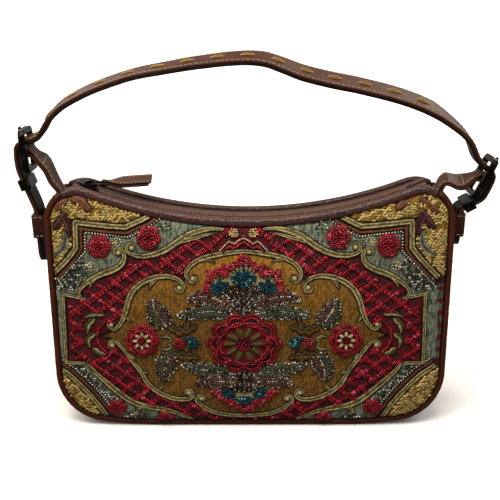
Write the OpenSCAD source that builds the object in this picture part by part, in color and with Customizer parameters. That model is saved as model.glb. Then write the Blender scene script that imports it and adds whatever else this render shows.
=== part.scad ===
// Shoulder bag: two bowed panels and a leather gusset, a zip along the sagging top edge,
// and a flat leather strap buckled to a leather tab at each top corner.
// Millimetres. X runs to the right, Y to the back and Z up, from the middle of the base.

/* [Body] */
// Width across the top corners
body_w = 292; // [270:1:320]
// Height of the top corners above the base
body_h = 175; // [162:1:190]
// Depth between the two pipings at the base
base_depth = 70; // [60:1:84]
// Depth between the two pipings at the top corners
top_depth = 33; // [31:1:40]
// Radius of the bottom corners
corner_r = 38; // [30:1:46]
// Radius of the top corners
top_corner_r = 24; // [21:1:27]
// Outward lean of each side, in degrees
side_lean = 2; // [0.5:0.5:4]
// Slope of the sagging top edge where it meets a corner, in degrees
top_slope = 21; // [18:0.5:22]
// Radius of the bowed ends of the base
bow_r = 320; // [260:10:420]
// Angle swept by each bowed end of the base, in degrees
bow_angle = 8; // [6:0.5:10]

/* [Leather and cloth] */
// How far each panel bulges beyond its seam
panel_bulge = 9; // [5:1:13]
// Thickness of the front and back panels
panel_t = 2.4; // [1.8:0.1:2.8]
// Thickness of the gusset leather
gusset_t = 2; // [1.4:0.1:2.6]
// Radius of the piping round each panel
piping_r = 2.4; // [2:0.1:2.8]
// Height of the binding along each top edge
binding_h = 5.5; // [5.5:0.5:8]
// Thickness of each leg of the binding
binding_t = 1.4; // [1:0.1:1.8]
// Thickness of the lining cloth
lining_t = 0.6; // [0.4:0.1:1]
// Thickness of the board that stiffens the base
board_t = 1.8; // [1:0.1:3]
// Gap between sewn pieces
sewn_gap = 0.2; // [0.1:0.05:0.3]

/* [Needlework] */
// Sideways shift of the pattern's middle from the middle of the bag
pattern_shift = -4; // [-8:0.5:8]
// Thickness of each field of the pattern, laid over the panel
field_t = 0.3; // [0.2:0.05:0.5]
// Thickness of the raised scrolls, rosettes and leaves
raised_t = 0.9; // [0.6:0.1:1.2]
// Width of a scroll at its middle
scroll_w = 4.8; // [3.5:0.1:6]
// Radius of the middle rosette
middle_rosette_r = 22; // [18:0.5:24]
// Radius of the rosette at each end of the medallion
end_rosette_r = 12; // [9:0.5:13]

/* [Zip] */
// Depth of the zip below the top edge
zip_recess = 3.5; // [3:0.1:4.5]
// Thickness of the zip tape
tape_t = 0.8; // [0.6:0.1:1]
// Spacing of the teeth along one tape
tooth_pitch = 2.54; // [2.4:0.02:3]
// Length of one tooth along the zip
tooth_l = 1.05; // [0.8:0.05:1.1]
// Height of a tooth
tooth_h = 2.4; // [2:0.1:2.8]
// Reach of a tooth across the zip's middle line
tooth_reach = 1; // [0.6:0.1:1.2]
// Distance of each tape's edge from the zip's middle line
tape_edge = 1.9; // [1.7:0.1:2.2]
// Angle from the middle of the zip to the closed slider, in degrees
slider_stop = 21.2; // [20:0.1:21.6]
// Angle through which the slider travels to the open end, in degrees
slider_travel = 41; // [36:0.5:42]
// Length of the slider
slider_l = 13; // [11:0.5:14]
// Width of the slider at its two mouths
slider_w = 10.4; // [10:0.1:12]
// Thickness of the slider's plates
slider_wall = 1.1; // [0.9:0.1:1.4]
// Running gap between the slider and the zip
slider_gap = 0.35; // [0.3:0.05:0.5]
// Radius of the wire of the pull ring
wire_r = 0.9; // [0.7:0.05:1.1]
// Distance between the two bars of the pull ring
ring_l = 8; // [7:0.5:10]
// Half the distance between the sides of the pull ring
ring_half_w = 4.2; // [4:0.1:5]
// Length of the leather pull tab
tab_l = 35; // [28:1:38]
// Width of the leather pull tab
tab_w = 11; // [9:0.5:13]
// Thickness of one ply of the pull tab
tab_ply = 1.6; // [1.2:0.1:2]

/* [Strap] */
// Width of the strap
strap_w = 20; // [18:0.5:21]
// Thickness of the strap's upper leather
strap_upper_t = 2.2; // [1.8:0.1:2.4]
// Thickness of the strap's backing leather
strap_under_t = 1.8; // [1.4:0.1:2]
// Height of the strap's crown above the top corners
strap_rise = 86; // [78:1:100]
// Number of lace stitches along the crown of the strap
lace_count = 16; // [12:1:17]
// Spacing of the lace stitches
lace_pitch = 21; // [18:0.5:22]
// Length of one lace stitch
lace_l = 10.5; // [8:0.5:12]
// Width of the lace
lace_w = 2.2; // [1.6:0.1:3]
// Rise of a lace stitch above the strap
lace_rise = 0.9; // [0.6:0.1:1.2]

/* [Buckles] */
// Length of a buckle frame along the strap
frame_l = 31; // [29.5:0.5:33]
// Width of the bars of a buckle frame
frame_bar = 4; // [3.4:0.1:4.4]
// Thickness of a buckle frame
frame_t = 4.4; // [3.6:0.1:4.8]
// Gap between the strap and the sides of a buckle frame
frame_gap = 0.7; // [0.5:0.05:1]
// Radius of a buckle's middle bar
bar_r = 1.6; // [1.3:0.05:1.8]
// Running gap round a buckle's middle bar
bar_gap = 0.05; // [0.03:0.01:0.08]
// Thickness of a buckle prong
prong_t = 2.1; // [1.8:0.1:2.3]
// Width of a buckle prong
prong_w = 3; // [2.4:0.1:3.4]
// Width of a leather tab at a top corner
chape_w = 18; // [15:0.5:19]
// Thickness of one ply of a leather tab
chape_ply = 1.8; // [1.4:0.1:2]
// Height of a metal keeper on the strap
keeper_l = 8; // [6:0.5:9]
// Thickness of a metal keeper
keeper_t = 1.5; // [1.2:0.1:1.8]
// Place of the left metal keeper, as a share of the way from its loop to its buckle
left_keeper_at = 0.68; // [0.6:0.01:0.7]
// Place of the right metal keeper, as a share of the way from its loop to its buckle
right_keeper_at = 0.42; // [0.4:0.01:0.44]
// Height of a leather loop on the gusset
loop_h = 17; // [14:0.5:20]
// Thickness of a leather loop on the gusset
loop_t = 1.8; // [1.4:0.1:2]
// Drop of the leather loops below the top corners
loop_drop = 30; // [28:1:45]
// Outward offset of the left buckle's bar from the top corner
left_out = 12; // [10:0.5:15]
// Height of the left buckle's bar above the top corner
left_up = 24; // [21:0.5:28]
// Outward tilt of the left buckle, in degrees
left_tilt = 5.5; // [3:0.5:9]
// Gap between the left end of the strap and the gusset
left_gap = 4.5; // [3:0.5:6]
// Length of strap below the left loop
left_tail = 19; // [14:1:26]
// Outward offset of the right buckle's bar from the top corner
right_out = 20.5; // [19:0.5:23]
// Height of the right buckle's bar above the top corner
right_up = 3.5; // [2:0.5:7]
// Outward tilt of the right buckle, in degrees
right_tilt = 28; // [25:0.5:32]
// Gap between the right end of the strap and the gusset
right_gap = 2.5; // [1.5:0.5:4]
// Length of strap below the right loop
right_tail = 8; // [6:1:14]

/* [Hidden] */
$fn = 64;

// Colours
leather = "#5a3024";
dark_leather = "#3a1d15";
tapestry = "#6f7860";
trellis_red = "#7a1a22";
corner_gold = "#c0a048";
medallion_ochre = "#a3752a";
scroll_olive = "#8f8648";
rosette_red = "#a01526";
leaf_grey = "#8f8a7c";
brass = "#4a4436";
cloth = "#6b4a3a";
lace_gold = "#c89a4a";

// Edge line: a flat base with bowed ends, round corners, leaning sides and a sagging top.
// Each arc is given by its centre, its radius and the heading of travel round the bag.
half_w = body_w / 2;
top_c = [half_w - top_corner_r, body_h - top_corner_r];
corner_z = bow_r - (bow_r - corner_r) * cos(bow_angle);
side_l = (top_c[1] - corner_z - (top_corner_r - corner_r) * sin(side_lean)) / cos(side_lean);
corner_x = top_c[0] + (top_corner_r - corner_r) * cos(side_lean) - side_l * sin(side_lean);
corner_c = [corner_x, corner_z];
bow_c = [corner_x - (bow_r - corner_r) * sin(bow_angle), bow_r];
dip_end = top_c + top_corner_r * [-sin(top_slope), cos(top_slope)];
dip_r = dip_end[0] / sin(top_slope);
dip_c = [0, dip_end[1] + dip_r * cos(top_slope)];
side_end = 90 - side_lean;

// The leather tab comes out of the top corner here, between the gusset and the zip's end
chape_t = 2 * chape_ply;
chape_heading = 143;
chape_root_l = 9;
chape_slack = 0.3;
chape_half_angle = (chape_t / 2 + chape_slack) / (top_corner_r - gusset_t) * 180 / PI;
piping_end = chape_heading + 6;
binding_start = chape_heading + 8.4;

// Seam allowances measured in from the edge line or in from the pipings' middle plane
panel_inset = 2 * piping_r + sewn_gap;
bound_inset = panel_t;
gusset_inset = piping_r + sewn_gap;
slot_half = panel_t / 2 + sewn_gap;
binding_half = slot_half + binding_t;
rim_inset = binding_half + sewn_gap;

// Zip
zip_r = dip_r + zip_recess;
cavity_half = tooth_h / 2 + slider_gap;
plate_top = cavity_half + slider_wall;
slider_flange = 1;
stop_l = 2.4;
stop_gap = 0.5;
stop_angle = (slider_l / 2 + stop_gap + stop_l / 2) / zip_r * 180 / PI;
left_stop = -slider_stop - stop_angle;
right_stop = slider_travel - slider_stop + stop_angle;
tape_end = slider_stop + 2 * stop_angle - 1;
jaw_l = 1.2;
jaw_end = tape_edge + jaw_l;
jaw_gap = 0.05;
pin_lift = 0.6;
ring_pin = [1.2, plate_top + wire_r + pin_lift];
pin_gap = 0.08;
ring_lift = 22;
tab_lift = 3;

// Buckles and strap: index 0 is the left end, 1 the right end, both laid out as a right end
strap_t = strap_upper_t + strap_under_t;
tilt = [left_tilt, right_tilt];
bar = [[half_w + left_out, body_h + left_up], [half_w + right_out, body_h + right_up]];
tail_gap = [left_gap, right_gap];
tail_l = [left_tail, right_tail];
// Bends of each leather tab: shares of the way to the bar, and offsets as shares of the tab's thickness
chape_bends = [
    [[0.25, 0.28], [0.58, 1]],
    [[0.16, 1.28], [0.35, 0.39], [0.53, -0.17], [0.77, 0.19]]
];
loop_r = bar_r + bar_gap + chape_ply;
wrap_gap = 0.85;
wrap_r = loop_r + wrap_gap + strap_t / 2;
end_bar = frame_l / 2 - frame_bar / 2;
over_gap = 2.2;
over = frame_t / 2 + over_gap + strap_t / 2;
frame_in = strap_w / 2 + frame_gap;
prong_rest = 0.2;
prong_tip = frame_l / 2 + 0.8;
prong_root = 0.3;
prong_eye_t = 1.4;
prong_in = frame_t / 2 + prong_rest;
prong_swing = [-4:3:14];
keeper_at = [left_keeper_at, right_keeper_at];
loop_z = body_h - loop_drop;
tab_gap = 0.5;
loop_room = 2;

// Crown of the strap, as shares of the half width and of the rise above the top corners
crown = [
    [-0.96, 0.54], [-0.9, 0.64], [-0.8, 0.735], [-0.7, 0.805], [-0.55, 0.885], [-0.41, 0.93],
    [-0.22, 0.98], [-0.04, 1], [0.07, 0.985], [0.15, 0.938], [0.25, 0.872], [0.39, 0.81],
    [0.53, 0.76], [0.72, 0.672], [0.86, 0.577], [0.98, 0.456], [1.06, 0.34]
];

// Needlework of the right half, as shares of the half width from the pattern's middle and of the height
trellis_line = [
    [0, 0.863], [0.16, 0.843], [0.315, 0.783], [0.425, 0.731], [0.49, 0.723], [0.57, 0.726], [0.596, 0.683],
    [0.685, 0.651], [0.788, 0.594], [0.788, 0.563], [0.877, 0.563], [0.877, 0.289], [0.788, 0.289],
    [0.685, 0.194], [0.589, 0.126], [0.48, 0.089], [0.356, 0.069], [0.247, 0.031]
];
medallion_line = [
    [0, 0.743], [0.164, 0.726], [0.26, 0.686], [0.288, 0.631], [0.384, 0.646], [0.493, 0.62], [0.562, 0.554],
    [0.589, 0.48], [0.637, 0.429], [0.699, 0.403], [0.637, 0.377], [0.582, 0.331], [0.514, 0.251],
    [0.452, 0.174], [0.356, 0.134], [0.26, 0.129], [0.219, 0.103], [0.137, 0.063], [0.06, 0.054]
];
top_corner_line = [
    [0.425, 0.926], [0.521, 0.877], [0.568, 0.86], [0.832, 0.886], [0.832, 0.769], [0.979, 0.637],
    [1.1, 0.637], [1.1, 1.1], [0.425, 1.1]
];
foot_corner_line = [
    [0.979, 0.263], [0.884, 0.217], [0.788, 0.137], [0.692, 0], [0.692, -0.1], [1.1, -0.1], [1.1, 0.263]
];
side_scrolls = [
    [
        [0.53, 0.774], [0.556, 0.768], [0.562, 0.741], [0.53, 0.728], [0.486, 0.729], [0.37, 0.76],
        [0.281, 0.823], [0.164, 0.855]
    ],
    [
        [0.622, 0.74], [0.61, 0.76], [0.585, 0.754], [0.578, 0.72], [0.6, 0.69], [0.634, 0.674],
        [0.74, 0.636], [0.784, 0.607]
    ],
    [[0.774, 0.289], [0.719, 0.229], [0.637, 0.166], [0.534, 0.106], [0.363, 0.073]],
    [
        [0.33, 0.592], [0.302, 0.597], [0.303, 0.628], [0.384, 0.649], [0.493, 0.623], [0.562, 0.554],
        [0.6, 0.46], [0.638, 0.43], [0.664, 0.451]
    ],
    [
        [0.664, 0.362], [0.655, 0.379], [0.632, 0.374], [0.59, 0.338], [0.548, 0.291], [0.486, 0.209],
        [0.404, 0.15], [0.312, 0.128], [0.272, 0.134], [0.263, 0.158], [0.287, 0.169]
    ]
];
// Scrolls that cross the pattern's middle, from there outwards
middle_scrolls = [
    [
        [0, 0.746], [0.096, 0.738], [0.216, 0.714], [0.278, 0.66], [0.265, 0.629], [0.238, 0.627],
        [0.232, 0.648]
    ],
    [[0, 0.054], [0.137, 0.066], [0.219, 0.106], [0.235, 0.131], [0.218, 0.147], [0.198, 0.136]]
];
// Each leaf is a bent line with its half width in millimetres
leaf_lines = [
    [4.5, [0.055, 0.514], [0.137, 0.557], [0.267, 0.554]],
    [4.8, [0.055, 0.494], [0.151, 0.509], [0.336, 0.494]],
    [5, [0.041, 0.24], [0.137, 0.251], [0.315, 0.283]],
    [5, [0.041, 0.206], [0.123, 0.209], [0.247, 0.191]],
    [6.5, [0.377, 0.44], [0.418, 0.494], [0.442, 0.56]],
    [6.5, [0.356, 0.326], [0.384, 0.274], [0.39, 0.206]]
];
middle_rosette_at = [0, 0.371];
end_rosette_at = [0.5, 0.383];
work_margin = 2;

function half_depth(z) = (base_depth + (top_depth - base_depth) * z / body_h) / 2;
function on_arc(c, r, heading) = c + r * [sin(heading), -cos(heading)];
function arc(c, r, from, to, steps, first = 0) =
    [for (i = [first:steps]) on_arc(c, r, from + (to - from) * i / steps)];
function unit(v) = v / norm(v);
function mix(a, b, t) = a + (b - a) * t;
function backwards(list) = [for (i = [len(list) - 1:-1:0]) list[i]];
function flipped(p) = [for (q = p) [-q[0], q[1]]];
function tail_of(list) = [for (i = [1:len(list) - 1]) list[i]];
function both_ways(p) = concat(backwards(flipped(p)), tail_of(p));

// Right half of the sides and base, in from the edge line by d, up to a heading on the top corner
function lower_half(d, end) = concat(
    [[0, d]],
    arc(bow_c, bow_r - d, 0, bow_angle, 3),
    arc(corner_c, corner_r - d, bow_angle, side_end, 8, 1),
    arc(top_c, top_corner_r - d, side_end, end, 5)
);

// Right half of the top edge from its middle to a heading on the top corner
function upper_half(d, end) = concat(
    arc(dip_c, -(dip_r + d), 180, 180 + top_slope, 8),
    arc(top_c, top_corner_r - d, 180 + top_slope, end, 7, 1)
);
function side_x(z) = on_arc(top_c, top_corner_r, side_end)[0]
    - (on_arc(top_c, top_corner_r, side_end)[1] - z) * tan(side_lean);

// Smooth curve through points, with tangents weighted by the chords on each side
function slope_at(p, i) = i == 0 ? unit(p[1] - p[0])
    : i == len(p) - 1 ? unit(p[i] - p[i - 1])
    : (p[i + 1] - p[i - 1]) / (norm(p[i + 1] - p[i]) + norm(p[i] - p[i - 1]));
function hermite(p, i, t) = let (d = norm(p[i + 1] - p[i]))
    p[i] * (2 * t ^ 3 - 3 * t ^ 2 + 1) + slope_at(p, i) * d * (t ^ 3 - 2 * t ^ 2 + t)
    + p[i + 1] * (3 * t ^ 2 - 2 * t ^ 3) + slope_at(p, i + 1) * d * (t ^ 3 - t ^ 2);
function smooth(p, step) = concat(
    [for (i = [0:len(p) - 2])
        let (n = max(2, round(norm(p[i + 1] - p[i]) / step)))
        for (k = [0:n - 1]) hermite(p, i, k / n)],
    [p[len(p) - 1]]
);
function beside(p, i, off) =
    let (t = unit(p[min(i + 1, len(p) - 1)] - p[max(i - 1, 0)])) p[i] + off * [-t[1], t[0]];
function band(p, low, high) = concat(
    [for (i = [0:len(p) - 1]) beside(p, i, high)],
    [for (i = [len(p) - 1:-1:0]) beside(p, i, low)]
);

// Strap route, from the left tip over the crown to the right tip
function side_point(s, along) = let (z = loop_z + along * cos(side_lean))
    [side_x(z), z] + (tail_gap[s] + strap_t / 2) * [cos(side_lean), -sin(side_lean)];
function at_bar(s, along, out) =
    bar[s] + along * [sin(tilt[s]), cos(tilt[s])] + out * [cos(tilt[s]), -sin(tilt[s])];
function tail_top(s) = side_point(s, loop_h / 2 + loop_room);
function keeper_way(s) = unit(at_bar(s, -end_bar, over) - tail_top(s));
function keeper_mid(s) = mix(tail_top(s), at_bar(s, -end_bar, over), keeper_at[s]);
function strap_end(s) = concat(
    [for (w = [-loop_h / 2 - tail_l[s], 0]) side_point(s, w)],
    [tail_top(s)],
    [for (w = [-0.4, 0.4]) keeper_mid(s) + w * keeper_l * keeper_way(s)],
    [at_bar(s, -end_bar, over), at_bar(s, -end_bar / 2, over + strap_t / 13)],
    [for (a = [-10, 38, 84]) at_bar(s, wrap_r * sin(a), wrap_r * cos(a))],
    [at_bar(s, wrap_r + 0.25 * strap_t, -1.25 * strap_t), at_bar(s, wrap_r + 0.85 * strap_t, -2.75 * strap_t)]
);
strap_line = smooth(concat(
    flipped(strap_end(0)),
    [for (c = crown) [c[0] * half_w, body_h + c[1] * strap_rise]],
    backwards(strap_end(1))
), 5);
strap_run = [for (i = 0, s = 0; i < len(strap_line);
    s = s + norm(strap_line[min(i + 1, len(strap_line) - 1)] - strap_line[i]), i = i + 1) s];
function strap_at(s) = [for (k = [0, 1])
    lookup(s, [for (i = [0:len(strap_line) - 1]) [strap_run[i], strap_line[i][k]]])];
crown_mid = lookup(0, [for (i = [0:len(strap_line) - 1])
    if (strap_line[i][1] > body_h + strap_rise / 2) [strap_line[i][0], strap_run[i]]]);

// Centre line of a leather tab, from inside the top corner to the buckle's bar
function chape_line(s) =
    let (root = on_arc(top_c, top_corner_r, chape_heading), chord = bar[s] - root)
    smooth(concat(
        [on_arc(top_c, top_corner_r - chape_root_l, chape_heading), root],
        [for (b = chape_bends[s]) root + b[0] * chord + b[1] * chape_t * unit([-chord[1], chord[0]])],
        [bar[s]]
    ), 2.5);

// Solid swept along a path beside the front panel; section points are [out from the path, across]
module sweep(path, section) {
    n = len(path);
    m = len(section);
    points = [for (i = [0:n - 1], q = section) let (p = beside(path, i, q[0]))
        [p[0], q[1] - half_depth(p[1]), p[1]]];
    walls = [for (i = [0:n - 2], j = [0:m - 1])
        let (a = i * m + j, b = i * m + (j + 1) % m)
        each [[a, b, b + m], [a, b + m, a + m]]];
    ends = [[for (j = [m - 1:-1:0]) j], [for (j = [0:m - 1]) (n - 1) * m + j]];
    polyhedron(points, concat(walls, ends));
}

module mirror_if(on, v) {
    if (on) mirror(v) children();
    else children();
}

// Profile drawn in X and Z, extruded to a width about the middle plane
module across(width) {
    rotate([90, 0, 0]) linear_extrude(width, center = true) children();
}

// Everything between the front and back planes, in from the pipings' middle planes by d
module between_panels(d) {
    rotate([90, 0, 90]) linear_extrude(2 * body_w, center = true)
        polygon([for (q = [[-1, -body_h], [1, -body_h], [1, 2 * body_h], [-1, 2 * body_h]])
            [q[0] * (half_depth(q[1]) - d), q[1]]]);
}

// Bowed panel: columns run from the base to the top edge, with a flat margin under the binding
module panel_layer(back_off, front_off) {
    columns = 15;
    rows = 8;
    bound_columns = 10;
    binding_room = 1;
    low = concat(
        [for (i = [0:3]) [bow_c[0] * i / 4, panel_inset]],
        arc(bow_c, bow_r - panel_inset, 0, bow_angle, 3),
        arc(corner_c, corner_r - panel_inset, bow_angle, side_end, 8, 1)
    );
    margin = [for (i = [0:columns]) let (t = min(1, (columns - i) / 4))
        mix(panel_inset + 2 * sewn_gap, binding_h + binding_room, t)];
    top = [for (i = [0:columns]) upper_half(i > bound_columns ? panel_inset : bound_inset, side_end)[i]];
    high = [for (i = [0:columns]) upper_half(margin[i], side_end)[i]];
    grid = [for (k = [-columns:columns], j = [0:rows + 1])
        let (i = abs(k), t = (1 - cos(180 * min(j, rows) / rows)) / 2)
        let (p = j > rows ? top[i] : mix(low[i], high[i], t))
        let (swell = j > rows ? 0 : sqrt(cos(90 * i / columns)) * sin(180 * j / rows) ^ 0.8)
        [sign(k) * p[0], half_depth(p[1]) + panel_bulge * swell, p[1]]];
    m = rows + 2;
    n = len(grid);
    outer = [for (p = grid) [p[0], -p[1] - front_off, p[2]]];
    inner = [for (p = grid) [p[0], -p[1] - back_off, p[2]]];
    cells = [for (k = [0:2 * columns - 1], j = [0:m - 2]) k * m + j];
    front = [for (c = cells) each [[c, c + 1, c + m + 1], [c, c + m + 1, c + m]]];
    back = [for (f = front) [f[2] + n, f[1] + n, f[0] + n]];
    loop = concat(
        [for (k = [0:2 * columns]) k * m],
        [for (j = [1:m - 1]) 2 * columns * m + j],
        [for (k = [2 * columns - 1:-1:0]) k * m + m - 1],
        [for (j = [m - 2:-1:1]) j]
    );
    edge = [for (i = [0:len(loop) - 1])
        let (a = loop[i], b = loop[(i + 1) % len(loop)])
        each [[a, b, b + n], [a, b + n, a + n]]];
    polyhedron(concat(outer, inner), concat(front, back, edge));
}

module panel() {
    panel_layer(-panel_t / 2, panel_t / 2);
}

module piping() {
    sweep(both_ways(lower_half(piping_r, piping_end)), [for (a = [0:36:359]) piping_r * [cos(a), sin(a)]]);
}

// Leather folded over the top edge of a panel, as a channel
module binding() {
    roll = [[0, 0.25], [-0.5, 0.7], [-1.8, 1]];
    slot_top = bound_inset - sewn_gap;
    leg = concat(
        [for (r = roll) [r[0], r[1] * binding_half]],
        [[-binding_h, binding_half], [-binding_h, slot_half], [-slot_top, slot_half]]
    );
    sweep(both_ways(upper_half(0, binding_start)), concat(leg, [for (q = backwards(leg)) [q[0], -q[1]]]));
}

module front_panel() {
    color(tapestry) panel();
}

// Flat shapes laid over the bulge of the front panel: level 0 on it, 1 on the trellis, 2 on the medallion
module laid(level, thick) {
    low = panel_t / 2 + sewn_gap + level * (field_t + sewn_gap);
    intersection() {
        panel_layer(low, low + thick);
        across(2 * base_depth) intersection() {
            children();
            polygon(concat(
                both_ways(lower_half(panel_inset + work_margin, side_end)),
                backwards(both_ways(upper_half(binding_h + work_margin, side_end)))
            ));
        }
    }
}

function in_pattern(p) = [for (q = p) [q[0] * half_w, q[1] * body_h]];
function ribbon(line, widths) = concat(
    [for (i = [0:len(line) - 1]) beside(line, i, widths[i] / 2)],
    [for (i = [len(line) - 1:-1:0]) beside(line, i, -widths[i] / 2)]
);

module both_halves() {
    translate([pattern_shift, 0]) {
        children();
        mirror([1, 0]) children();
    }
}

module whole(half_line) {
    translate([pattern_shift, 0]) polygon(both_ways(in_pattern(half_line)));
}

module scroll_shape(p) {
    step = 8;
    tip = 0.35;
    line = smooth(p, step);
    n = len(line) - 1;
    polygon(ribbon(line, [for (i = [0:n]) scroll_w * mix(tip, 1, sin(180 * i / n))]));
}

module leaf_shapes() {
    step = 6;
    tip = 0.15;
    both_halves() for (p = leaf_lines) {
        line = smooth(in_pattern(tail_of(p)), step);
        n = len(line) - 1;
        polygon(ribbon(line, [for (i = [0:n]) 2 * p[0] * mix(tip, 1, sin(180 * i / n))]));
    }
}

// Rosette of round petals
module rosette_shape(at, r) {
    petals = 8;
    petal_r = 0.3 * r;
    translate([at[0] * half_w, at[1] * body_h]) {
        circle(r - petal_r, $fn = petals);
        for (k = [0:petals - 1]) rotate(360 * k / petals)
            translate([r - petal_r, 0]) circle(petal_r, $fn = 8);
    }
}

module rosette_shapes() {
    both_halves() {
        rosette_shape(middle_rosette_at, middle_rosette_r);
        rosette_shape(end_rosette_at, end_rosette_r);
    }
}

module scroll_shapes() {
    both_halves() for (p = side_scrolls) scroll_shape(in_pattern(p));
    translate([pattern_shift, 0]) for (p = middle_scrolls) scroll_shape(both_ways(in_pattern(p)));
}

module trellis_field() {
    color(trellis_red) laid(0, field_t) whole(trellis_line);
}

module corner_fields() {
    color(corner_gold) laid(0, field_t) both_halves()
        for (p = [top_corner_line, foot_corner_line]) polygon(in_pattern(p));
}

module medallion_field() {
    tuck = 1.5;
    color(medallion_ochre) laid(1, field_t) difference() {
        offset(delta = -tuck) whole(medallion_line);
        offset(delta = sewn_gap) scroll_shapes();
    }
}

module scrolls() {
    color(scroll_olive) laid(1, raised_t) scroll_shapes();
}

module rosettes() {
    color(rosette_red) laid(2, raised_t) rosette_shapes();
}

module leaves() {
    color(leaf_grey) laid(2, raised_t) difference() {
        leaf_shapes();
        offset(delta = sewn_gap) rosette_shapes();
    }
}

module back_panel() {
    color(leather) mirror([0, 1, 0]) panel();
}

module front_piping() {
    color(leather) piping();
}

module back_piping() {
    color(leather) mirror([0, 1, 0]) piping();
}

module front_binding() {
    color(leather) binding();
}

module back_binding() {
    color(leather) mirror([0, 1, 0]) binding();
}

// Strip that joins the two panels round the sides and base
module gusset() {
    end = chape_heading - chape_half_angle;
    color(leather) intersection() {
        across(base_depth) polygon(concat(
            both_ways(lower_half(0, end)),
            backwards(both_ways(lower_half(gusset_t, end)))
        ));
        between_panels(gusset_inset);
    }
}

module lining_space(d, floor_z) {
    intersection() {
        across(base_depth) polygon(both_ways(lower_half(gusset_t + sewn_gap + d, side_end)));
        between_panels(rim_inset + sewn_gap + d);
        translate([-body_w, -base_depth, floor_z]) cube([2 * body_w, 2 * base_depth, top_c[1] - floor_z]);
    }
}

module lining() {
    floor_z = gusset_t + board_t + 2 * sewn_gap;
    zip_room = 1.2;
    lip = 0.5;
    color(cloth) difference() {
        lining_space(0, floor_z);
        lining_space(lining_t, floor_z + lining_t);
        translate([-body_w, -base_depth, top_c[1] - lip]) cube([2 * body_w, 2 * base_depth, 2 * lip]);
        translate([dip_c[0], 0, dip_c[1]]) rotate([90, 0, 0])
            cylinder(r = zip_r + tooth_h / 2 + zip_room, h = 2 * base_depth, center = true, $fn = 128);
    }
}

module base_board() {
    margin = 2;
    width = 2 * (bow_c[0] - margin);
    depth = 2 * (half_depth(0) - rim_inset - margin);
    corner = 6;
    color(dark_leather) translate([0, 0, gusset_t]) linear_extrude(board_t)
        round_slab(width, depth, corner);
}

// Places a piece on the zip's arc: x along the zip, z up, at an angle from the zip's middle
module on_zip(angle) {
    translate([dip_c[0], 0, dip_c[1]]) rotate([0, -angle, 0]) translate([0, 0, -zip_r]) children();
}

module zip_tape() {
    intersection() {
        translate([dip_c[0], 0, dip_c[1]]) rotate([90, 0, 0])
            rotate_extrude(angle = 2 * tape_end, start = 270 - tape_end, $fn = 180)
                translate([zip_r - tape_t / 2, tape_edge]) square([tape_t, base_depth]);
        between_panels(rim_inset);
    }
}

// Clip of metal pinched on the edge of a tape: a tooth or an end stop
module clip(length, reach) {
    grip = tape_t / 2 + jaw_gap;
    root = jaw_gap - tape_edge;
    rotate([90, 0, 90]) linear_extrude(length, center = true) polygon([
        [reach, -tooth_h / 2], [-jaw_end, -tooth_h / 2], [-jaw_end, -grip], [root, -grip],
        [root, grip], [-jaw_end, grip], [-jaw_end, tooth_h / 2], [reach, tooth_h / 2]
    ]);
}

module zip_teeth(shift) {
    pitch = tooth_pitch / zip_r * 180 / PI;
    last = floor((right_stop - stop_angle / 4 + slider_stop) / pitch - 1);
    for (i = [0:last]) on_zip(-slider_stop + (i + 0.5 + shift) * pitch) clip(tooth_l, tooth_reach);
}

module front_zip_tape() {
    color(cloth) zip_tape();
}

module back_zip_tape() {
    color(cloth) mirror([0, 1, 0]) zip_tape();
}

module front_zip_teeth() {
    color(brass) zip_teeth(0);
}

module back_zip_teeth() {
    color(brass) mirror([0, 1, 0]) zip_teeth(0.5);
}

module zip_stops() {
    color(brass) {
        for (y = [0, 1]) on_zip(left_stop) mirror([0, y, 0]) clip(stop_l, -tape_edge + 0.7);
        on_zip(right_stop) union() {
            clip(stop_l, 0);
            mirror([0, 1, 0]) clip(stop_l, 0);
        }
    }
}

// Leather patches that close each end of the zip beside the leather tab
module zip_end_tabs() {
    start = chape_heading - 90 + chape_half_angle + 1.5;
    end = 78;
    outer = top_corner_r - zip_recess;
    color(leather) for (s = [0, 1]) mirror_if(s == 0, [1, 0, 0]) intersection() {
        translate([top_c[0], 0, top_c[1]]) rotate([90, 0, 0])
            rotate_extrude(angle = end - start, start = start)
                translate([outer - gusset_t, -base_depth / 2]) square([gusset_t, base_depth]);
        between_panels(rim_inset);
    }
}

module slider_plan(inset) {
    wide = slider_w / 2 - inset;
    slim = jaw_end + slider_gap + slider_flange - inset;
    nose = 1.2;
    half = slider_l / 2;
    polygon([
        [-half, wide - nose], [nose - half, wide], [-0.4 * half, wide], [half, slim],
        [half, -slim], [-0.4 * half, -wide], [nose - half, -wide], [-half, nose - wide]
    ]);
}

// Two plates with turned-in flanges, joined by a post between the tapes, and a bridge for the pull
module zip_slider() {
    bridge_w = 2.2;
    bridge_r = 5;
    mouth_l = 4;
    mouth_rim = 2.2;
    post = [0.6 - slider_l / 2, -slider_l / 4 - 1, 1.6 - slider_l / 4];
    post_w = 1.2;
    color(brass) on_zip(-slider_stop) union() {
        difference() {
            linear_extrude(2 * plate_top, center = true) slider_plan(0);
            linear_extrude(2 * cavity_half, center = true) union() {
                slider_plan(slider_flange);
                translate([slider_l / 2, 0]) square([mouth_l, 2 * (jaw_end + slider_gap)], center = true);
                translate([-slider_l / 2, 0]) square([mouth_l, slider_w - 2 * mouth_rim], center = true);
            }
            cube([2 * slider_l, 2 * slider_w, tape_t + 2 * slider_gap], center = true);
        }
        linear_extrude(2 * cavity_half + slider_wall, center = true)
            polygon([[post[0], 0], [post[1], post_w], [post[2], 0], [post[1], -post_w]]);
        across(bridge_w) difference() {
            intersection() {
                translate([ring_pin[0] - 0.8, plate_top - 1.4]) circle(bridge_r);
                translate([-slider_l / 2, plate_top - slider_wall / 2]) square([slider_l, 2 * bridge_r]);
            }
            translate(ring_pin) circle(wire_r + pin_gap);
        }
    }
}

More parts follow.
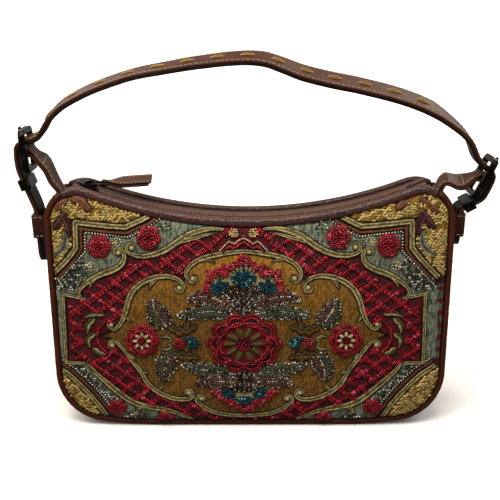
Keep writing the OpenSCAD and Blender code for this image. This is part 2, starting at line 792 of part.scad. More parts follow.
// Places a piece at the bar of the pull ring under the slider's bridge
module on_ring() {
    on_zip(-slider_stop) translate([ring_pin[0], 0, ring_pin[1]]) rotate([0, -ring_lift, 0]) children();
}

module pull_ring() {
    color(brass) on_ring() union() {
        for (x = [0, ring_l]) translate([x, 0, 0]) rotate([90, 0, 0])
            cylinder(r = wire_r, h = 2 * ring_half_w, center = true);
        for (y = [-1, 1]) translate([0, y * ring_half_w, 0]) rotate([0, 90, 0])
            cylinder(r = wire_r, h = ring_l);
        for (x = [0, ring_l], y = [-1, 1]) translate([x, y * ring_half_w, 0]) sphere(wire_r);
    }
}

// Leather strip folded round the ring's outer bar and sewn flat
module pull_tab() {
    hole = wire_r + pin_gap;
    fold_r = hole + tab_ply;
    neck = 2 * (ring_half_w - wire_r) - 2 * tab_gap;
    shoulder = fold_r + tab_gap;
    tab_corner = 1.5;
    color(leather) on_ring() translate([ring_l, 0, 0]) rotate([0, -tab_lift, 0]) intersection() {
        across(2 * tab_w) difference() {
            union() {
                circle(fold_r);
                translate([0, -tab_ply]) square([tab_l, 2 * tab_ply]);
            }
            circle(hole);
        }
        linear_extrude(4 * fold_r, center = true) union() {
            translate([-fold_r, -neck / 2]) square([2 * fold_r + tab_gap + 1, neck]);
            translate([shoulder, -tab_w / 2]) square([tab_l - shoulder - tab_corner, tab_w]);
            translate([tab_l - 2 * tab_corner, tab_corner - tab_w / 2])
                square([2 * tab_corner, tab_w - 2 * tab_corner]);
            for (y = [-1, 1])
                translate([tab_l - tab_corner, y * (tab_w / 2 - tab_corner)]) circle(tab_corner);
        }
    }
}

// Leather tab doubled round the buckle's bar, slotted for the prong
module chape(s) {
    slot_w = prong_w + 2 * tab_gap;
    slot_l = 2;
    mirror_if(s == 0, [1, 0, 0]) difference() {
        union() {
            across(chape_w) polygon(band(chape_line(s), -chape_t / 2, chape_t / 2));
            at_bar_axis(s, loop_r, chape_w);
        }
        at_bar_axis(s, bar_r + bar_gap, 2 * chape_w);
        at_bar_axis(s, loop_r + slot_l, slot_w);
    }
}

module at_bar_axis(s, r, length) {
    translate([bar[s][0], 0, bar[s][1]]) rotate([90, 0, 0]) cylinder(r = r, h = length, center = true);
}

module left_chape() {
    color(leather) chape(0);
}

module right_chape() {
    color(leather) chape(1);
}

// Places a piece at a buckle's bar: x out from the bag, z along the frame towards the crown
module on_bar(s) {
    mirror_if(s == 0, [1, 0, 0]) translate([bar[s][0], 0, bar[s][1]]) rotate([0, tilt[s], 0]) children();
}

module round_slab(width, height, r) {
    square([width - 2 * r, height], center = true);
    square([width, height - 2 * r], center = true);
    for (x = [-1, 1], y = [-1, 1]) translate([x * (width / 2 - r), y * (height / 2 - r)]) circle(r);
}

module buckle_frame(s) {
    outer_w = 2 * (frame_in + frame_bar);
    on_bar(s) union() {
        rotate([90, 0, 90]) linear_extrude(frame_t, center = true) difference() {
            round_slab(outer_w, frame_l, frame_bar * 1.4);
            round_slab(2 * frame_in, frame_l - 2 * frame_bar, frame_bar * 0.4);
        }
        rotate([90, 0, 0]) cylinder(r = bar_r, h = 2 * frame_in + frame_bar, center = true);
    }
}

module left_buckle_frame() {
    color(brass) buckle_frame(0);
}

module right_buckle_frame() {
    color(brass) buckle_frame(1);
}

// Outline of a prong from its eye to its tip, widened by a clearance
module prong_shank(clear) {
    root = bar_r + bar_gap;
    polygon([
        [prong_root - clear, root], [prong_in - clear, end_bar - frame_bar / 2 - 0.4],
        [prong_in - clear, prong_tip + clear], [prong_in + prong_t * 0.6, prong_tip + 0.4 + clear],
        [prong_in + prong_t + clear, prong_tip - 1.4], [prong_in + prong_t + clear, end_bar - frame_bar],
        [prong_root + 1.3 * prong_t + clear, root]
    ]);
}

module buckle_prong(s) {
    on_bar(s) difference() {
        union() {
            rotate([90, 0, 0]) cylinder(r = bar_r + bar_gap + prong_eye_t, h = prong_w, center = true);
            across(prong_w) prong_shank(0);
        }
        rotate([90, 0, 0]) cylinder(r = bar_r + bar_gap, h = 2 * prong_w, center = true);
    }
}

module left_buckle_prong() {
    color(brass) buckle_prong(0);
}

module right_buckle_prong() {
    color(brass) buckle_prong(1);
}

// Metal band round the strap, just below the buckle
module metal_keeper(s) {
    mid = keeper_mid(s);
    way = keeper_way(s);
    inner_t = strap_t + 2 * tab_gap;
    inner_w = strap_w + 2 * tab_gap;
    mirror_if(s == 0, [1, 0, 0]) translate([mid[0], 0, mid[1]])
        rotate([0, atan2(way[0], way[1]), 0]) linear_extrude(keeper_l, center = true) difference() {
            round_slab(inner_t + 2 * keeper_t, inner_w + 2 * keeper_t, keeper_t);
            square([inner_t, inner_w], center = true);
        }
}

module left_metal_keeper() {
    color(brass) metal_keeper(0);
}

module right_metal_keeper() {
    color(brass) metal_keeper(1);
}

// Leather loop sewn to the gusset, which holds the end of the strap
module side_loop(s) {
    reach = tail_gap[s] + strap_t + tab_gap;
    inner = strap_w / 2 + tab_gap;
    foot = 3.6;
    outer_r = 3;
    inner_r = 1.4;
    mirror_if(s == 0, [1, 0, 0]) translate([side_x(loop_z), 0, loop_z]) rotate([0, side_lean, 0])
        linear_extrude(loop_h, center = true) union() {
            difference() {
                round_slab(2 * (reach + loop_t), 2 * (inner + loop_t), outer_r);
                round_slab(2 * reach, 2 * inner, inner_r);
                translate([-2 * reach, -2 * inner]) square([2 * reach, 4 * inner]);
            }
            for (y = [-1, 1]) translate([loop_t / 2, y * (inner + (loop_t + foot) / 2)])
                square([loop_t, loop_t + foot], center = true);
        }
}

module left_side_loop() {
    color(leather) side_loop(0);
}

module right_side_loop() {
    color(leather) side_loop(1);
}

// One layer of the strap between two offsets from its middle, with round tips and prong holes
module strap_layer(low, high) {
    difference() {
        across(strap_w) polygon(band(strap_line, low, high));
        for (s = [0, 1]) {
            tip = strap_end(s)[0];
            on_bar(s) across(prong_w + 2 * tab_gap)
                for (q = prong_swing) rotate(-q) prong_shank(tab_gap);
            mirror_if(s == 0, [1, 0, 0]) translate([tip[0], 0, tip[1]])
                rotate([0, side_lean, 0]) difference() {
                    translate([-strap_t, -strap_w, -1]) cube([2 * strap_t, 2 * strap_w, strap_w / 2 + 1]);
                    translate([0, 0, strap_w / 2]) rotate([0, 90, 0])
                        cylinder(r = strap_w / 2, h = 3 * strap_t, center = true);
                }
        }
    }
}

module strap_upper() {
    color(leather) strap_layer(strap_t / 2 - strap_upper_t, strap_t / 2);
}

module strap_backing() {
    color(dark_leather) strap_layer(-strap_t / 2, strap_t / 2 - strap_upper_t);
}

// Running lace along the middle of the crown, one low arch for each stitch
module strap_lacing() {
    steps = 6;
    lift = 0.1;
    lace_t = 0.2;
    color(lace_gold) for (i = [0:lace_count - 1]) {
        start = crown_mid + (i - lace_count / 2) * lace_pitch;
        run = [for (k = [0:steps]) strap_at(start + lace_l * k / steps)];
        arch = [for (k = [0:steps]) lace_t + lace_rise * sin(20 + 140 * k / steps)];
        across(lace_w) polygon(concat(
            [for (k = [0:steps]) beside(run, k, strap_t / 2 + lift + arch[k])],
            [for (k = [steps:-1:0]) beside(run, k, strap_t / 2 + lift)]
        ));
    }
}

front_panel();
trellis_field();
corner_fields();
medallion_field();
scrolls();
rosettes();
leaves();
back_panel();
gusset();
front_piping();
back_piping();
front_binding();
back_binding();
lining();
base_board();
front_zip_tape();
back_zip_tape();
front_zip_teeth();
back_zip_teeth();
zip_stops();
zip_end_tabs();
zip_slider();
pull_ring();
pull_tab();
left_chape();
right_chape();
left_buckle_frame();
right_buckle_frame();
left_buckle_prong();
right_buckle_prong();
left_metal_keeper();
right_metal_keeper();
left_side_loop();
right_side_loop();
strap_upper();
strap_backing();
strap_lacing();
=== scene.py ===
import math

import bpy
import numpy as np
from mathutils import Matrix, Vector
from mathutils.bvhtree import BVHTree


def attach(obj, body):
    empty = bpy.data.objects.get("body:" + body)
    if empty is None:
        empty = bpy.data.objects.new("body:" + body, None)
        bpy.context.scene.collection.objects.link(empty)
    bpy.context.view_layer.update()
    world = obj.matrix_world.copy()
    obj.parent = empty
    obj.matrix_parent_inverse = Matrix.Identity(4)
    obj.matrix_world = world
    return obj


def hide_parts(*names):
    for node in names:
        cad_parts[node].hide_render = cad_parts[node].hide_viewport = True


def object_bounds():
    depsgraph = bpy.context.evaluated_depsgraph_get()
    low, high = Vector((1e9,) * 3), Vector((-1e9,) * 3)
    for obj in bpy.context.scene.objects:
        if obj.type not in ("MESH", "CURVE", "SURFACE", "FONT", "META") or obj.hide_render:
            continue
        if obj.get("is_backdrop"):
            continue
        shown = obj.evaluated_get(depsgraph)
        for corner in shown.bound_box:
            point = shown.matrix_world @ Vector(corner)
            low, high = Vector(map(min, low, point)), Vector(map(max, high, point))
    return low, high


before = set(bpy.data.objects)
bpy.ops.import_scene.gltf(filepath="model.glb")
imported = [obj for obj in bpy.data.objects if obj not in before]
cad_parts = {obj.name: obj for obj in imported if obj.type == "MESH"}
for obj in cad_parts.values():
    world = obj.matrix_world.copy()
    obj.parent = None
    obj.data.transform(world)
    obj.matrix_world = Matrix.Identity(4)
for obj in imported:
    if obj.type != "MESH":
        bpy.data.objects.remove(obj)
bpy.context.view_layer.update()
scene = bpy.context.scene
chance = np.random.default_rng(11)
print("frame:", len(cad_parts), "solids from the CAD model")

# Millimetres throughout, turned to metres where a mesh is made. X right, Y back, Z up.
shot = {
    "target": (0, 0, 90), "distance": 750, "elevation": 17.91, "azimuth": -0.75, "roll": -0.38,
    "lens": 72.45, "sensor": 36, "shiftY": 0.0876, "floor": "#f4f2ee", "floorDull": "#f0eeea", "world": 0.3,
    "lights": [  # place, aim, size, power, colour
        ((-150, -420, 1250), (0, 0, 90), 900, 23, "#fff8ee"),
        ((-700, -700, 760), (0, 0, 90), 700, 5, "#fff4e6"),
        ((760, -640, 700), (0, 0, 90), 800, 2.5, "#f2f6ff"),
        ((0, 1500, 2300), (0, 4500, 900), 1800, 190, "#ffffff"),
        ((-640, 620, 820), (0, 0, 90), 700, 5, "#fff6ea"),
        ((640, 620, 820), (0, 0, 90), 700, 5, "#fff6ea"),
    ],
}


def linear(code):
    rgb = [int(code[i:i + 2], 16) / 255 for i in (1, 3, 5)]
    return np.array([c / 12.92 if c <= 0.04045 else ((c + 0.055) / 1.055) ** 2.4 for c in rgb])


def paint(code):
    return [*linear(code), 1.0]


def unit(v):
    v = np.asarray(v, float)
    return v / np.maximum(np.linalg.norm(v, axis=-1, keepdims=True), 1e-9)


def addNode(tree, kind, settings=None, links=None):
    made = tree.nodes.new(kind)
    for key, value in (settings or {}).items():
        if isinstance(key, str) and hasattr(made, key):
            setattr(made, key, value)
        else:
            made.inputs[key].default_value = value
    for key, socket in (links or {}).items():
        tree.links.new(socket, made.inputs[key])
    return made


# Camera at the photograph's view, pale sweep and soft studio lights
turn, rise, roll = (math.radians(shot[k]) for k in ("azimuth", "elevation", "roll"))
ahead = np.array([math.sin(turn) * math.cos(rise), math.cos(turn) * math.cos(rise), -math.sin(rise)])
right = np.array([math.cos(turn), -math.sin(turn), 0])
above = np.cross(right, ahead)
right, above = (right * math.cos(roll) + above * math.sin(roll),
                above * math.cos(roll) - right * math.sin(roll))
eye = np.array(shot["target"]) - ahead * shot["distance"]
camData = bpy.data.cameras.new("photoView")
camData.lens, camData.sensor_width, camData.shift_y = shot["lens"], shot["sensor"], shot["shiftY"]
camData.clip_start, camData.clip_end = 0.01, 60
cam = bpy.data.objects.new("photoView", camData)
scene.collection.objects.link(cam)
cam.matrix_world = Matrix([[right[i], above[i], -ahead[i], eye[i] / 1000] for i in range(3)] + [[0, 0, 0, 1]])
scene.camera = cam
scene.view_settings.view_transform = "Standard"

sweepLine = [(y, 0.0) for y in (-6, -2, 0, 2, 3)] + [
    (3 + 3 * math.sin(a), 3 - 3 * math.cos(a)) for a in np.linspace(0.2, math.pi / 2, 8)] + [(6, 9)]
sweepMesh = bpy.data.meshes.new("paleSweep")
sweepMesh.from_pydata([(x, y, z) for y, z in sweepLine for x in (-9, 9)], [],
                      [(2 * i, 2 * i + 1, 2 * i + 3, 2 * i + 2) for i in range(len(sweepLine) - 1)])
sweep = bpy.data.objects.new("paleSweep", sweepMesh)
scene.collection.objects.link(sweep)
sweepMesh.polygons.foreach_set("use_smooth", [True] * len(sweepMesh.polygons))
sweep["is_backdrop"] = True
sweep.visible_diffuse = sweep.visible_glossy = False  # no light thrown back up
paperMat = bpy.data.materials.new("matt paper, rolled")
paperMat.use_nodes = True
paperTree = paperMat.node_tree
# faint clouds, never flat white
fibre = addNode(paperTree, "ShaderNodeTexNoise", {"Scale": 3.0, "Detail": 2.0})
shade = addNode(paperTree, "ShaderNodeMix",
                {"data_type": "RGBA", 6: paint(shot["floorDull"]), 7: paint(shot["floor"])},
                {0: fibre.outputs[0]})
paperTree.links.new(shade.outputs[2], paperTree.nodes["Principled BSDF"].inputs["Base Color"])
paperTree.nodes["Principled BSDF"].inputs["Roughness"].default_value = 0.9
sweepMesh.materials.append(paperMat)
for i, (place, aim, size, power, glow) in enumerate(shot["lights"]):
    lightData = bpy.data.lights.new(f"softbox{i}", "AREA")
    lightData.size, lightData.energy, lightData.color = size / 1000, power, linear(glow)
    box = bpy.data.objects.new(f"softbox{i}", lightData)
    scene.collection.objects.link(box)
    box.location = Vector(place) / 1000
    box.rotation_euler = (Vector(aim) / 1000 - box.location).to_track_quat("-Z", "Y").to_euler()
world = bpy.data.worlds.new("studio")
scene.world = world
world.use_nodes = True
world.node_tree.nodes["Background"].inputs["Color"].default_value = paint("#ffffff")
world.node_tree.nodes["Background"].inputs["Strength"].default_value = shot["world"]
print("camera, sweep and lights")

# Materials. Every made piece carries a colour attribute, tint, which its material weathers.
# Pattern sizes in mm, drawn coarse enough to show
thick = {"weave": 1.3, "satin": 1.1, "satinRun": 40, "cord": 0.9, "cordTurn": 3, "twill": 1.2,
         "twillRow": 2.2, "pore": 1.5, "pebble": 3.2, "mottle": 26}
# Specks to the metre, about 4, 6, 1 and 2.5 mm wide
specks = {"bead": 260.0, "tarnish": 170.0, "grit": 900.0, "board": 400.0}
waveScale = 0.314  # of a wave texture whose bands are one unit apart


def startMaterial(name):
    made = bpy.data.materials.new(name)
    made.use_nodes = True
    tree = made.node_tree
    tint = addNode(tree, "ShaderNodeAttribute", {"attribute_name": "tint"})
    return made, tree, tree.nodes["Principled BSDF"], tint.outputs["Color"]


def leather(name, pore, depth, rough, wear, shine):
    made, tree, shader, tint = startMaterial(name)
    place = addNode(tree, "ShaderNodeTexCoord").outputs["Object"]
    mottle = addNode(tree, "ShaderNodeTexNoise", {"Scale": 1000 / thick["mottle"], "Detail": 4.0},
                     {"Vector": place})
    cells = addNode(tree, "ShaderNodeTexVoronoi", {"feature": "DISTANCE_TO_EDGE", "Scale": 1000 / pore},
                    {"Vector": place})
    crease = addNode(tree, "ShaderNodeMapRange", {"From Max": 0.25}, {"Value": cells.outputs["Distance"]})
    fine = addNode(tree, "ShaderNodeTexNoise", {"Scale": 2200 / pore, "Detail": 3.0}, {"Vector": place})
    span = addNode(tree, "ShaderNodeMapRange",
                   {"From Min": 0.3, "From Max": 0.7, "To Min": 1 - wear, "To Max": 1 + wear},
                   {"Value": mottle.outputs[0]})
    groove = addNode(tree, "ShaderNodeMapRange", {"To Min": 0.72, "To Max": 1.0},
                     {"Value": crease.outputs[0]})
    both = addNode(tree, "ShaderNodeMath", {"operation": "MULTIPLY"},
                   {0: span.outputs[0], 1: groove.outputs[0]})
    worn = addNode(tree, "ShaderNodeVectorMath", {"operation": "SCALE"}, {0: tint, "Scale": both.outputs[0]})
    tree.links.new(worn.outputs[0], shader.inputs["Base Color"])
    gloss = addNode(tree, "ShaderNodeMapRange", {"To Min": rough + 0.14, "To Max": rough - 0.05},
                    {"Value": mottle.outputs[0]})
    tree.links.new(gloss.outputs[0], shader.inputs["Roughness"])
    mixed = addNode(tree, "ShaderNodeMath", {"operation": "MULTIPLY_ADD", 1: 0.35},
                    {0: fine.outputs[0], 2: crease.outputs[0]})
    relief = addNode(tree, "ShaderNodeBump", {"Strength": depth, "Distance": 0.0004},
                     {"Height": mixed.outputs[0]})
    tree.links.new(relief.outputs[0], shader.inputs["Normal"])
    shader.inputs["Specular IOR Level"].default_value = shine
    return made


# Calf leather, drum dyed and waxed: soft broad highlights, fine pores and cloudy brown
calf = leather("calf leather, drum dyed", thick["pore"], 0.25, 0.36, 0.22, 0.12)
# Grained cowhide, embossed and polished: raised pebbles that catch the light over dark creases
pebbled = leather("grained cowhide, embossed", thick["pebble"], 0.5, 0.26, 0.3, 0.3)


def woven(name, pitchX, pitchY, depth, contrast, rough, fuzz):
    # threads cross in the mesh's own flat millimetre coordinates
    made, tree, shader, tint = startMaterial(name)
    flat = addNode(tree, "ShaderNodeUVMap", {"uv_map": "flat"}).outputs[0]
    warp = addNode(tree, "ShaderNodeTexWave",
                   {"bands_direction": "X", "Scale": waveScale / pitchX, "Distortion": 0.6, "Detail": 1.0},
                   {"Vector": flat})
    weft = addNode(tree, "ShaderNodeTexWave",
                   {"bands_direction": "Y", "Scale": waveScale / pitchY, "Distortion": 0.6, "Detail": 1.0},
                   {"Vector": flat})
    cross = addNode(tree, "ShaderNodeMath", {"operation": "MULTIPLY"},
                    {0: warp.outputs[1], 1: weft.outputs[1]})
    slub = addNode(tree, "ShaderNodeTexNoise", {"Scale": 0.9, "Detail": 3.0}, {"Vector": flat})
    level = addNode(tree, "ShaderNodeMath", {"operation": "MULTIPLY_ADD", 1: 0.5},
                    {0: slub.outputs[0], 2: cross.outputs[0]})
    span = addNode(tree, "ShaderNodeMapRange",
                   {"From Max": 1.2, "To Min": 1 - contrast, "To Max": 1 + contrast},
                   {"Value": level.outputs[0]})
    worn = addNode(tree, "ShaderNodeVectorMath", {"operation": "SCALE"}, {0: tint, "Scale": span.outputs[0]})
    tree.links.new(worn.outputs[0], shader.inputs["Base Color"])
    relief = addNode(tree, "ShaderNodeBump", {"Strength": depth, "Distance": 0.0006},
                     {"Height": level.outputs[0]})
    tree.links.new(relief.outputs[0], shader.inputs["Normal"])
    shader.inputs["Roughness"].default_value = rough
    shader.inputs["Specular IOR Level"].default_value = 0.12
    shader.inputs["Sheen Weight"].default_value = fuzz
    shader.inputs["Sheen Roughness"].default_value = 0.5
    return made


# Wool and cotton tapestry, woven: a matt ground broken by the crossing threads
tapestry = woven("wool tapestry, woven", thick["weave"], thick["weave"], 0.7, 0.42, 0.85, 0.04)
# Rayon floss, satin stitched: close parallel threads with a silky streak
satin = woven("rayon floss, satin stitched", thick["satin"], thick["satinRun"], 0.55, 0.34, 0.55, 0.03)
# Cotton cord, twisted and waxed: small slanting ridges, nearly matt
cordThread = woven("cotton cord, twisted", thick["cord"], thick["cordTurn"], 0.5, 0.3, 0.6, 0.05)
# Polyester tape, woven in twill: dull ribbed band
tapeCloth = woven("polyester tape, twill woven", thick["twill"], thick["twillRow"], 0.6, 0.3, 0.75, 0.1)

# Glass seed beads, cut and fire polished: hard small sparks over a deep body colour
glassBead, beadTree, beadShader, beadTint = startMaterial("glass seed beads, fire polished")
beadPlace = addNode(beadTree, "ShaderNodeTexCoord").outputs["Object"]
beadTone = addNode(beadTree, "ShaderNodeTexNoise", {"Scale": specks["bead"], "Detail": 1.0},
                   {"Vector": beadPlace})
beadSpan = addNode(beadTree, "ShaderNodeMapRange",
                   {"From Min": 0.3, "From Max": 0.7, "To Min": 0.7, "To Max": 1.3},
                   {"Value": beadTone.outputs[0]})
beadDeep = addNode(beadTree, "ShaderNodeVectorMath", {"operation": "SCALE"},
                   {0: beadTint, "Scale": beadSpan.outputs[0]})
beadTree.links.new(beadDeep.outputs[0], beadShader.inputs["Base Color"])
beadGloss = addNode(beadTree, "ShaderNodeMapRange", {"To Min": 0.05, "To Max": 0.2},
                    {"Value": beadTone.outputs[0]})
beadTree.links.new(beadGloss.outputs[0], beadShader.inputs["Roughness"])
beadShader.inputs["Specular IOR Level"].default_value = 0.22


def plated(name, dark, worn):
    made = bpy.data.materials.new(name)
    made.use_nodes = True
    tree = made.node_tree
    shader = tree.nodes["Principled BSDF"]
    place = addNode(tree, "ShaderNodeTexCoord").outputs["Object"]
    tarnish = addNode(tree, "ShaderNodeTexNoise",
                      {"Scale": specks["tarnish"], "Detail": 5.0, "Roughness": 0.6}, {"Vector": place})
    rubbed = addNode(tree, "ShaderNodeMapRange", {"From Min": 0.55, "From Max": 0.75},
                     {"Value": tarnish.outputs[0]})
    plate = addNode(tree, "ShaderNodeMix", {"data_type": "RGBA", 6: paint(dark), 7: paint(worn)},
                    {0: rubbed.outputs[0]})
    tree.links.new(plate.outputs[2], shader.inputs["Base Color"])
    scuff = addNode(tree, "ShaderNodeMapRange", {"To Min": 0.2, "To Max": 0.38},
                    {"Value": tarnish.outputs[0]})
    tree.links.new(scuff.outputs[0], shader.inputs["Roughness"])
    shader.inputs["Metallic"].default_value = 1.0
    grit = addNode(tree, "ShaderNodeTexNoise", {"Scale": specks["grit"], "Detail": 2.0}, {"Vector": place})
    pits = addNode(tree, "ShaderNodeBump", {"Strength": 0.12, "Distance": 0.0002},
                   {"Height": grit.outputs[0]})
    tree.links.new(pits.outputs[0], shader.inputs["Normal"])
    return made


# Zinc alloy, cast, plated in dark antique brass and rubbed: near black with warm worn lights
darkBrass = plated("zinc alloy, antique brass plated", "#191712", "#5a5036")
# Brass wire, stamped into teeth and oxidised: brown rows with a glint on each tooth
toothBrass = plated("brass zip teeth, stamped", "#a07c62", "#c8a888")

# Fibre board, pressed: a dull brown sheet that stiffens the base
board = bpy.data.materials.new("fibre board, pressed")
board.use_nodes = True
boardTree = board.node_tree
boardGrain = addNode(boardTree, "ShaderNodeTexNoise", {"Scale": specks["board"], "Detail": 4.0})
boardTone = addNode(boardTree, "ShaderNodeMix",
                    {"data_type": "RGBA", 6: paint("#3a2a22"), 7: paint("#5c4636")},
                    {0: boardGrain.outputs[0]})
boardTree.links.new(boardTone.outputs[2], boardTree.nodes["Principled BSDF"].inputs["Base Color"])
boardTree.nodes["Principled BSDF"].inputs["Roughness"].default_value = 0.8
print("materials")


class Pile:
    # gathers many small shapes into one mesh
    def __init__(self):
        self.verts, self.faces, self.tint, self.flat, self.count = [], [], [], [], 0

    def add(self, verts, faces, tint, flat=None):
        verts = np.asarray(verts, float).reshape(-1, 3)
        self.verts.append(verts)
        self.tint.append(np.broadcast_to(np.asarray(tint, float), (len(verts), 3)))
        flat = np.zeros((len(verts), 2)) if flat is None else np.asarray(flat, float).reshape(-1, 2)
        self.flat.append(flat)
        for f in faces:
            self.faces.append(np.asarray(f, int) + self.count)
        self.count += len(verts)

    def piece(self, name, material, body="bag"):
        verts, tint, flat = (np.concatenate(a) for a in (self.verts, self.tint, self.flat))
        verts[:, 2] = np.maximum(verts[:, 2], 0)  # flat where the bag stands on the floor
        loops = np.concatenate([f.ravel() for f in self.faces])
        sizes = np.concatenate([np.full(len(f), f.shape[1]) for f in self.faces])
        mesh = bpy.data.meshes.new(name)
        mesh.vertices.add(len(verts))
        mesh.vertices.foreach_set("co", (verts / 1000).astype(np.float32).ravel())
        mesh.loops.add(len(loops))
        mesh.loops.foreach_set("vertex_index", loops.astype(np.int32))
        mesh.polygons.add(len(sizes))
        mesh.polygons.foreach_set("loop_start", np.concatenate([[0], np.cumsum(sizes)[:-1]]).astype(np.int32))
        mesh.polygons.foreach_set("use_smooth", np.ones(len(sizes), bool))
        mesh.update(calc_edges=True)
        colour = mesh.attributes.new("tint", "FLOAT_COLOR", "POINT")
        rgba = np.column_stack([tint, np.ones(len(tint))])
        colour.data.foreach_set("color", rgba.astype(np.float32).ravel())
        uv = mesh.uv_layers.new(name="flat")
        uv.data.foreach_set("uv", flat[loops].astype(np.float32).ravel())
        mesh.materials.append(material)
        made = bpy.data.objects.new(name, mesh)
        scene.collection.objects.link(made)
        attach(made, body)
        print(f"  {name}: {int((sizes - 2).sum())} triangles")
        return made


# Form of the bag, as in the CAD model
bag = {
    "halfW": 146, "height": 175, "baseDepth": 70, "topDepth": 33, "cornerR": 38, "topR": 24, "lean": 2,
    "slope": 21, "bowR": 320, "bowAngle": 8, "bulge": 9, "panelT": 2.4, "pipingR": 2.4, "bindingH": 5.5,
    "gussetT": 2, "gap": 0.2, "zipRecess": 3.5, "chapeAt": 143,
    "hide": "#2f160c", "hideDark": "#0f0603", "bindingCrownHighlight": "#40261c", "backHide": "#30150a",
    "piping": "#411b0b", "binding": "#3c2019",
}


def sinD(a):
    return np.sin(np.radians(a))


def cosD(a):
    return np.cos(np.radians(a))


def onArc(c, r, heading):
    heading = np.asarray(heading, float)
    return np.stack([c[0] + r * sinD(heading), c[1] - r * cosD(heading)], -1)


topC = np.array([bag["halfW"] - bag["topR"], bag["height"] - bag["topR"]])
cornerZ = bag["bowR"] - (bag["bowR"] - bag["cornerR"]) * cosD(bag["bowAngle"])
sideL = (topC[1] - cornerZ - (bag["topR"] - bag["cornerR"]) * sinD(bag["lean"])) / cosD(bag["lean"])
cornerX = topC[0] + (bag["topR"] - bag["cornerR"]) * cosD(bag["lean"]) - sideL * sinD(bag["lean"])
cornerC = np.array([cornerX, cornerZ])
bowC = np.array([cornerX - (bag["bowR"] - bag["cornerR"]) * sinD(bag["bowAngle"]), bag["bowR"]])
dipEnd = topC + bag["topR"] * np.array([-sinD(bag["slope"]), cosD(bag["slope"])])
dipR = dipEnd[0] / sinD(bag["slope"])
dipC = np.array([0, dipEnd[1] + dipR * cosD(bag["slope"])])
sideEnd = 90 - bag["lean"]
panelInset = 2 * bag["pipingR"] + bag["gap"]
zipR = dipR + bag["zipRecess"]


def halfDepth(z):
    return (bag["baseDepth"] + (bag["topDepth"] - bag["baseDepth"]) * np.asarray(z) / bag["height"]) / 2


def runOf(line):
    return np.concatenate([[0], np.cumsum(np.linalg.norm(np.diff(line, axis=0), axis=1))])


def pointsAt(at, run, line):
    return np.stack([np.interp(at, run, line[:, k]) for k in range(line.shape[1])], -1)


def evenly(points, step):
    points = np.asarray(points, float)
    run = runOf(points)
    count = max(2, int(round(run[-1] / step)) + 1)
    return pointsAt(np.linspace(0, run[-1], count), run, points)


def bothWays(p):
    return np.concatenate([(p * [-1, 1])[::-1], p[1:]])


def lowerEdge(d, end, step):
    half = np.concatenate([
        [[0, d]], onArc(bowC, bag["bowR"] - d, np.linspace(0, bag["bowAngle"], 12)),
        onArc(cornerC, bag["cornerR"] - d, np.linspace(bag["bowAngle"], sideEnd, 40)[1:]),
        onArc(topC, bag["topR"] - d, np.linspace(sideEnd, end, 24))])
    return evenly(bothWays(half), step)


def upperEdge(d, end, step):
    half = np.concatenate([
        onArc(dipC, -(dipR + d), np.linspace(180, 180 + bag["slope"], 40)),
        onArc(topC, bag["topR"] - d, np.linspace(180 + bag["slope"], end, 24)[1:])])
    return evenly(bothWays(half), step)


def smoothLine(points, step):
    # curve through the points, tangents weighted by the chords on each side
    p = np.asarray(points, float)
    chord = np.linalg.norm(np.diff(p, axis=0), axis=1)
    slope = np.empty_like(p)
    slope[0], slope[-1] = unit(p[1] - p[0]), unit(p[-1] - p[-2])
    slope[1:-1] = (p[2:] - p[:-2]) / (chord[1:] + chord[:-1])[:, None]
    line = []
    for i, d in enumerate(chord):
        t = np.linspace(0, 1, max(2, int(round(d / step))) + 1)[:-1, None]
        line.append(p[i] * (2 * t ** 3 - 3 * t ** 2 + 1) + slope[i] * d * (t ** 3 - 2 * t ** 2 + t)
                    + p[i + 1] * (3 * t ** 2 - 2 * t ** 3) + slope[i + 1] * d * (t ** 3 - t ** 2))
    return np.concatenate(line + [p[-1:]])


def tangents(p):
    return unit(np.gradient(p, axis=0))


def beside(p, off):
    t = tangents(p)
    return p + np.asarray(off).reshape(-1, 1) * np.stack([-t[:, 1], t[:, 0]], -1)


# Panels: columns of the CAD panel, counted from the middle, made fine and with the same bulge
panelForm = {"columns": 15, "baseTo": 4, "bowTo": 7, "dipTo": 8, "boundTo": (10, 11), "marginEase": 4,
             "hem": 0.4, "bindingRoom": 1, "bunched": 0.3, "fullness": 0.8}
lastColumn, baseTo, bowTo, dipTo = (panelForm[k] for k in ("columns", "baseTo", "bowTo", "dipTo"))


def panelLow(i):
    base = np.stack([bowC[0] * i / baseTo, np.full_like(i, panelInset)], -1)
    bow = onArc(bowC, bag["bowR"] - panelInset, bag["bowAngle"] * (i - baseTo) / (bowTo - baseTo))
    turned = bag["bowAngle"] + (sideEnd - bag["bowAngle"]) * (i - bowTo) / (lastColumn - bowTo)
    corner = onArc(cornerC, bag["cornerR"] - panelInset, turned)
    return np.where((i <= baseTo)[:, None], base, np.where((i <= bowTo)[:, None], bow, corner))


def panelHigh(i, d):
    dip = 180 + bag["slope"] * i / dipTo
    corner = 180 + bag["slope"] + (sideEnd - 180 - bag["slope"]) * (i - dipTo) / (lastColumn - dipTo)
    r = bag["topR"] - d
    return np.where((i <= dipTo)[:, None],
                    np.stack([dipC[0] - (dipR + d) * sinD(dip), dipC[1] + (dipR + d) * cosD(dip)], -1),
                    np.stack([topC[0] + r * sinD(corner), topC[1] - r * cosD(corner)], -1))


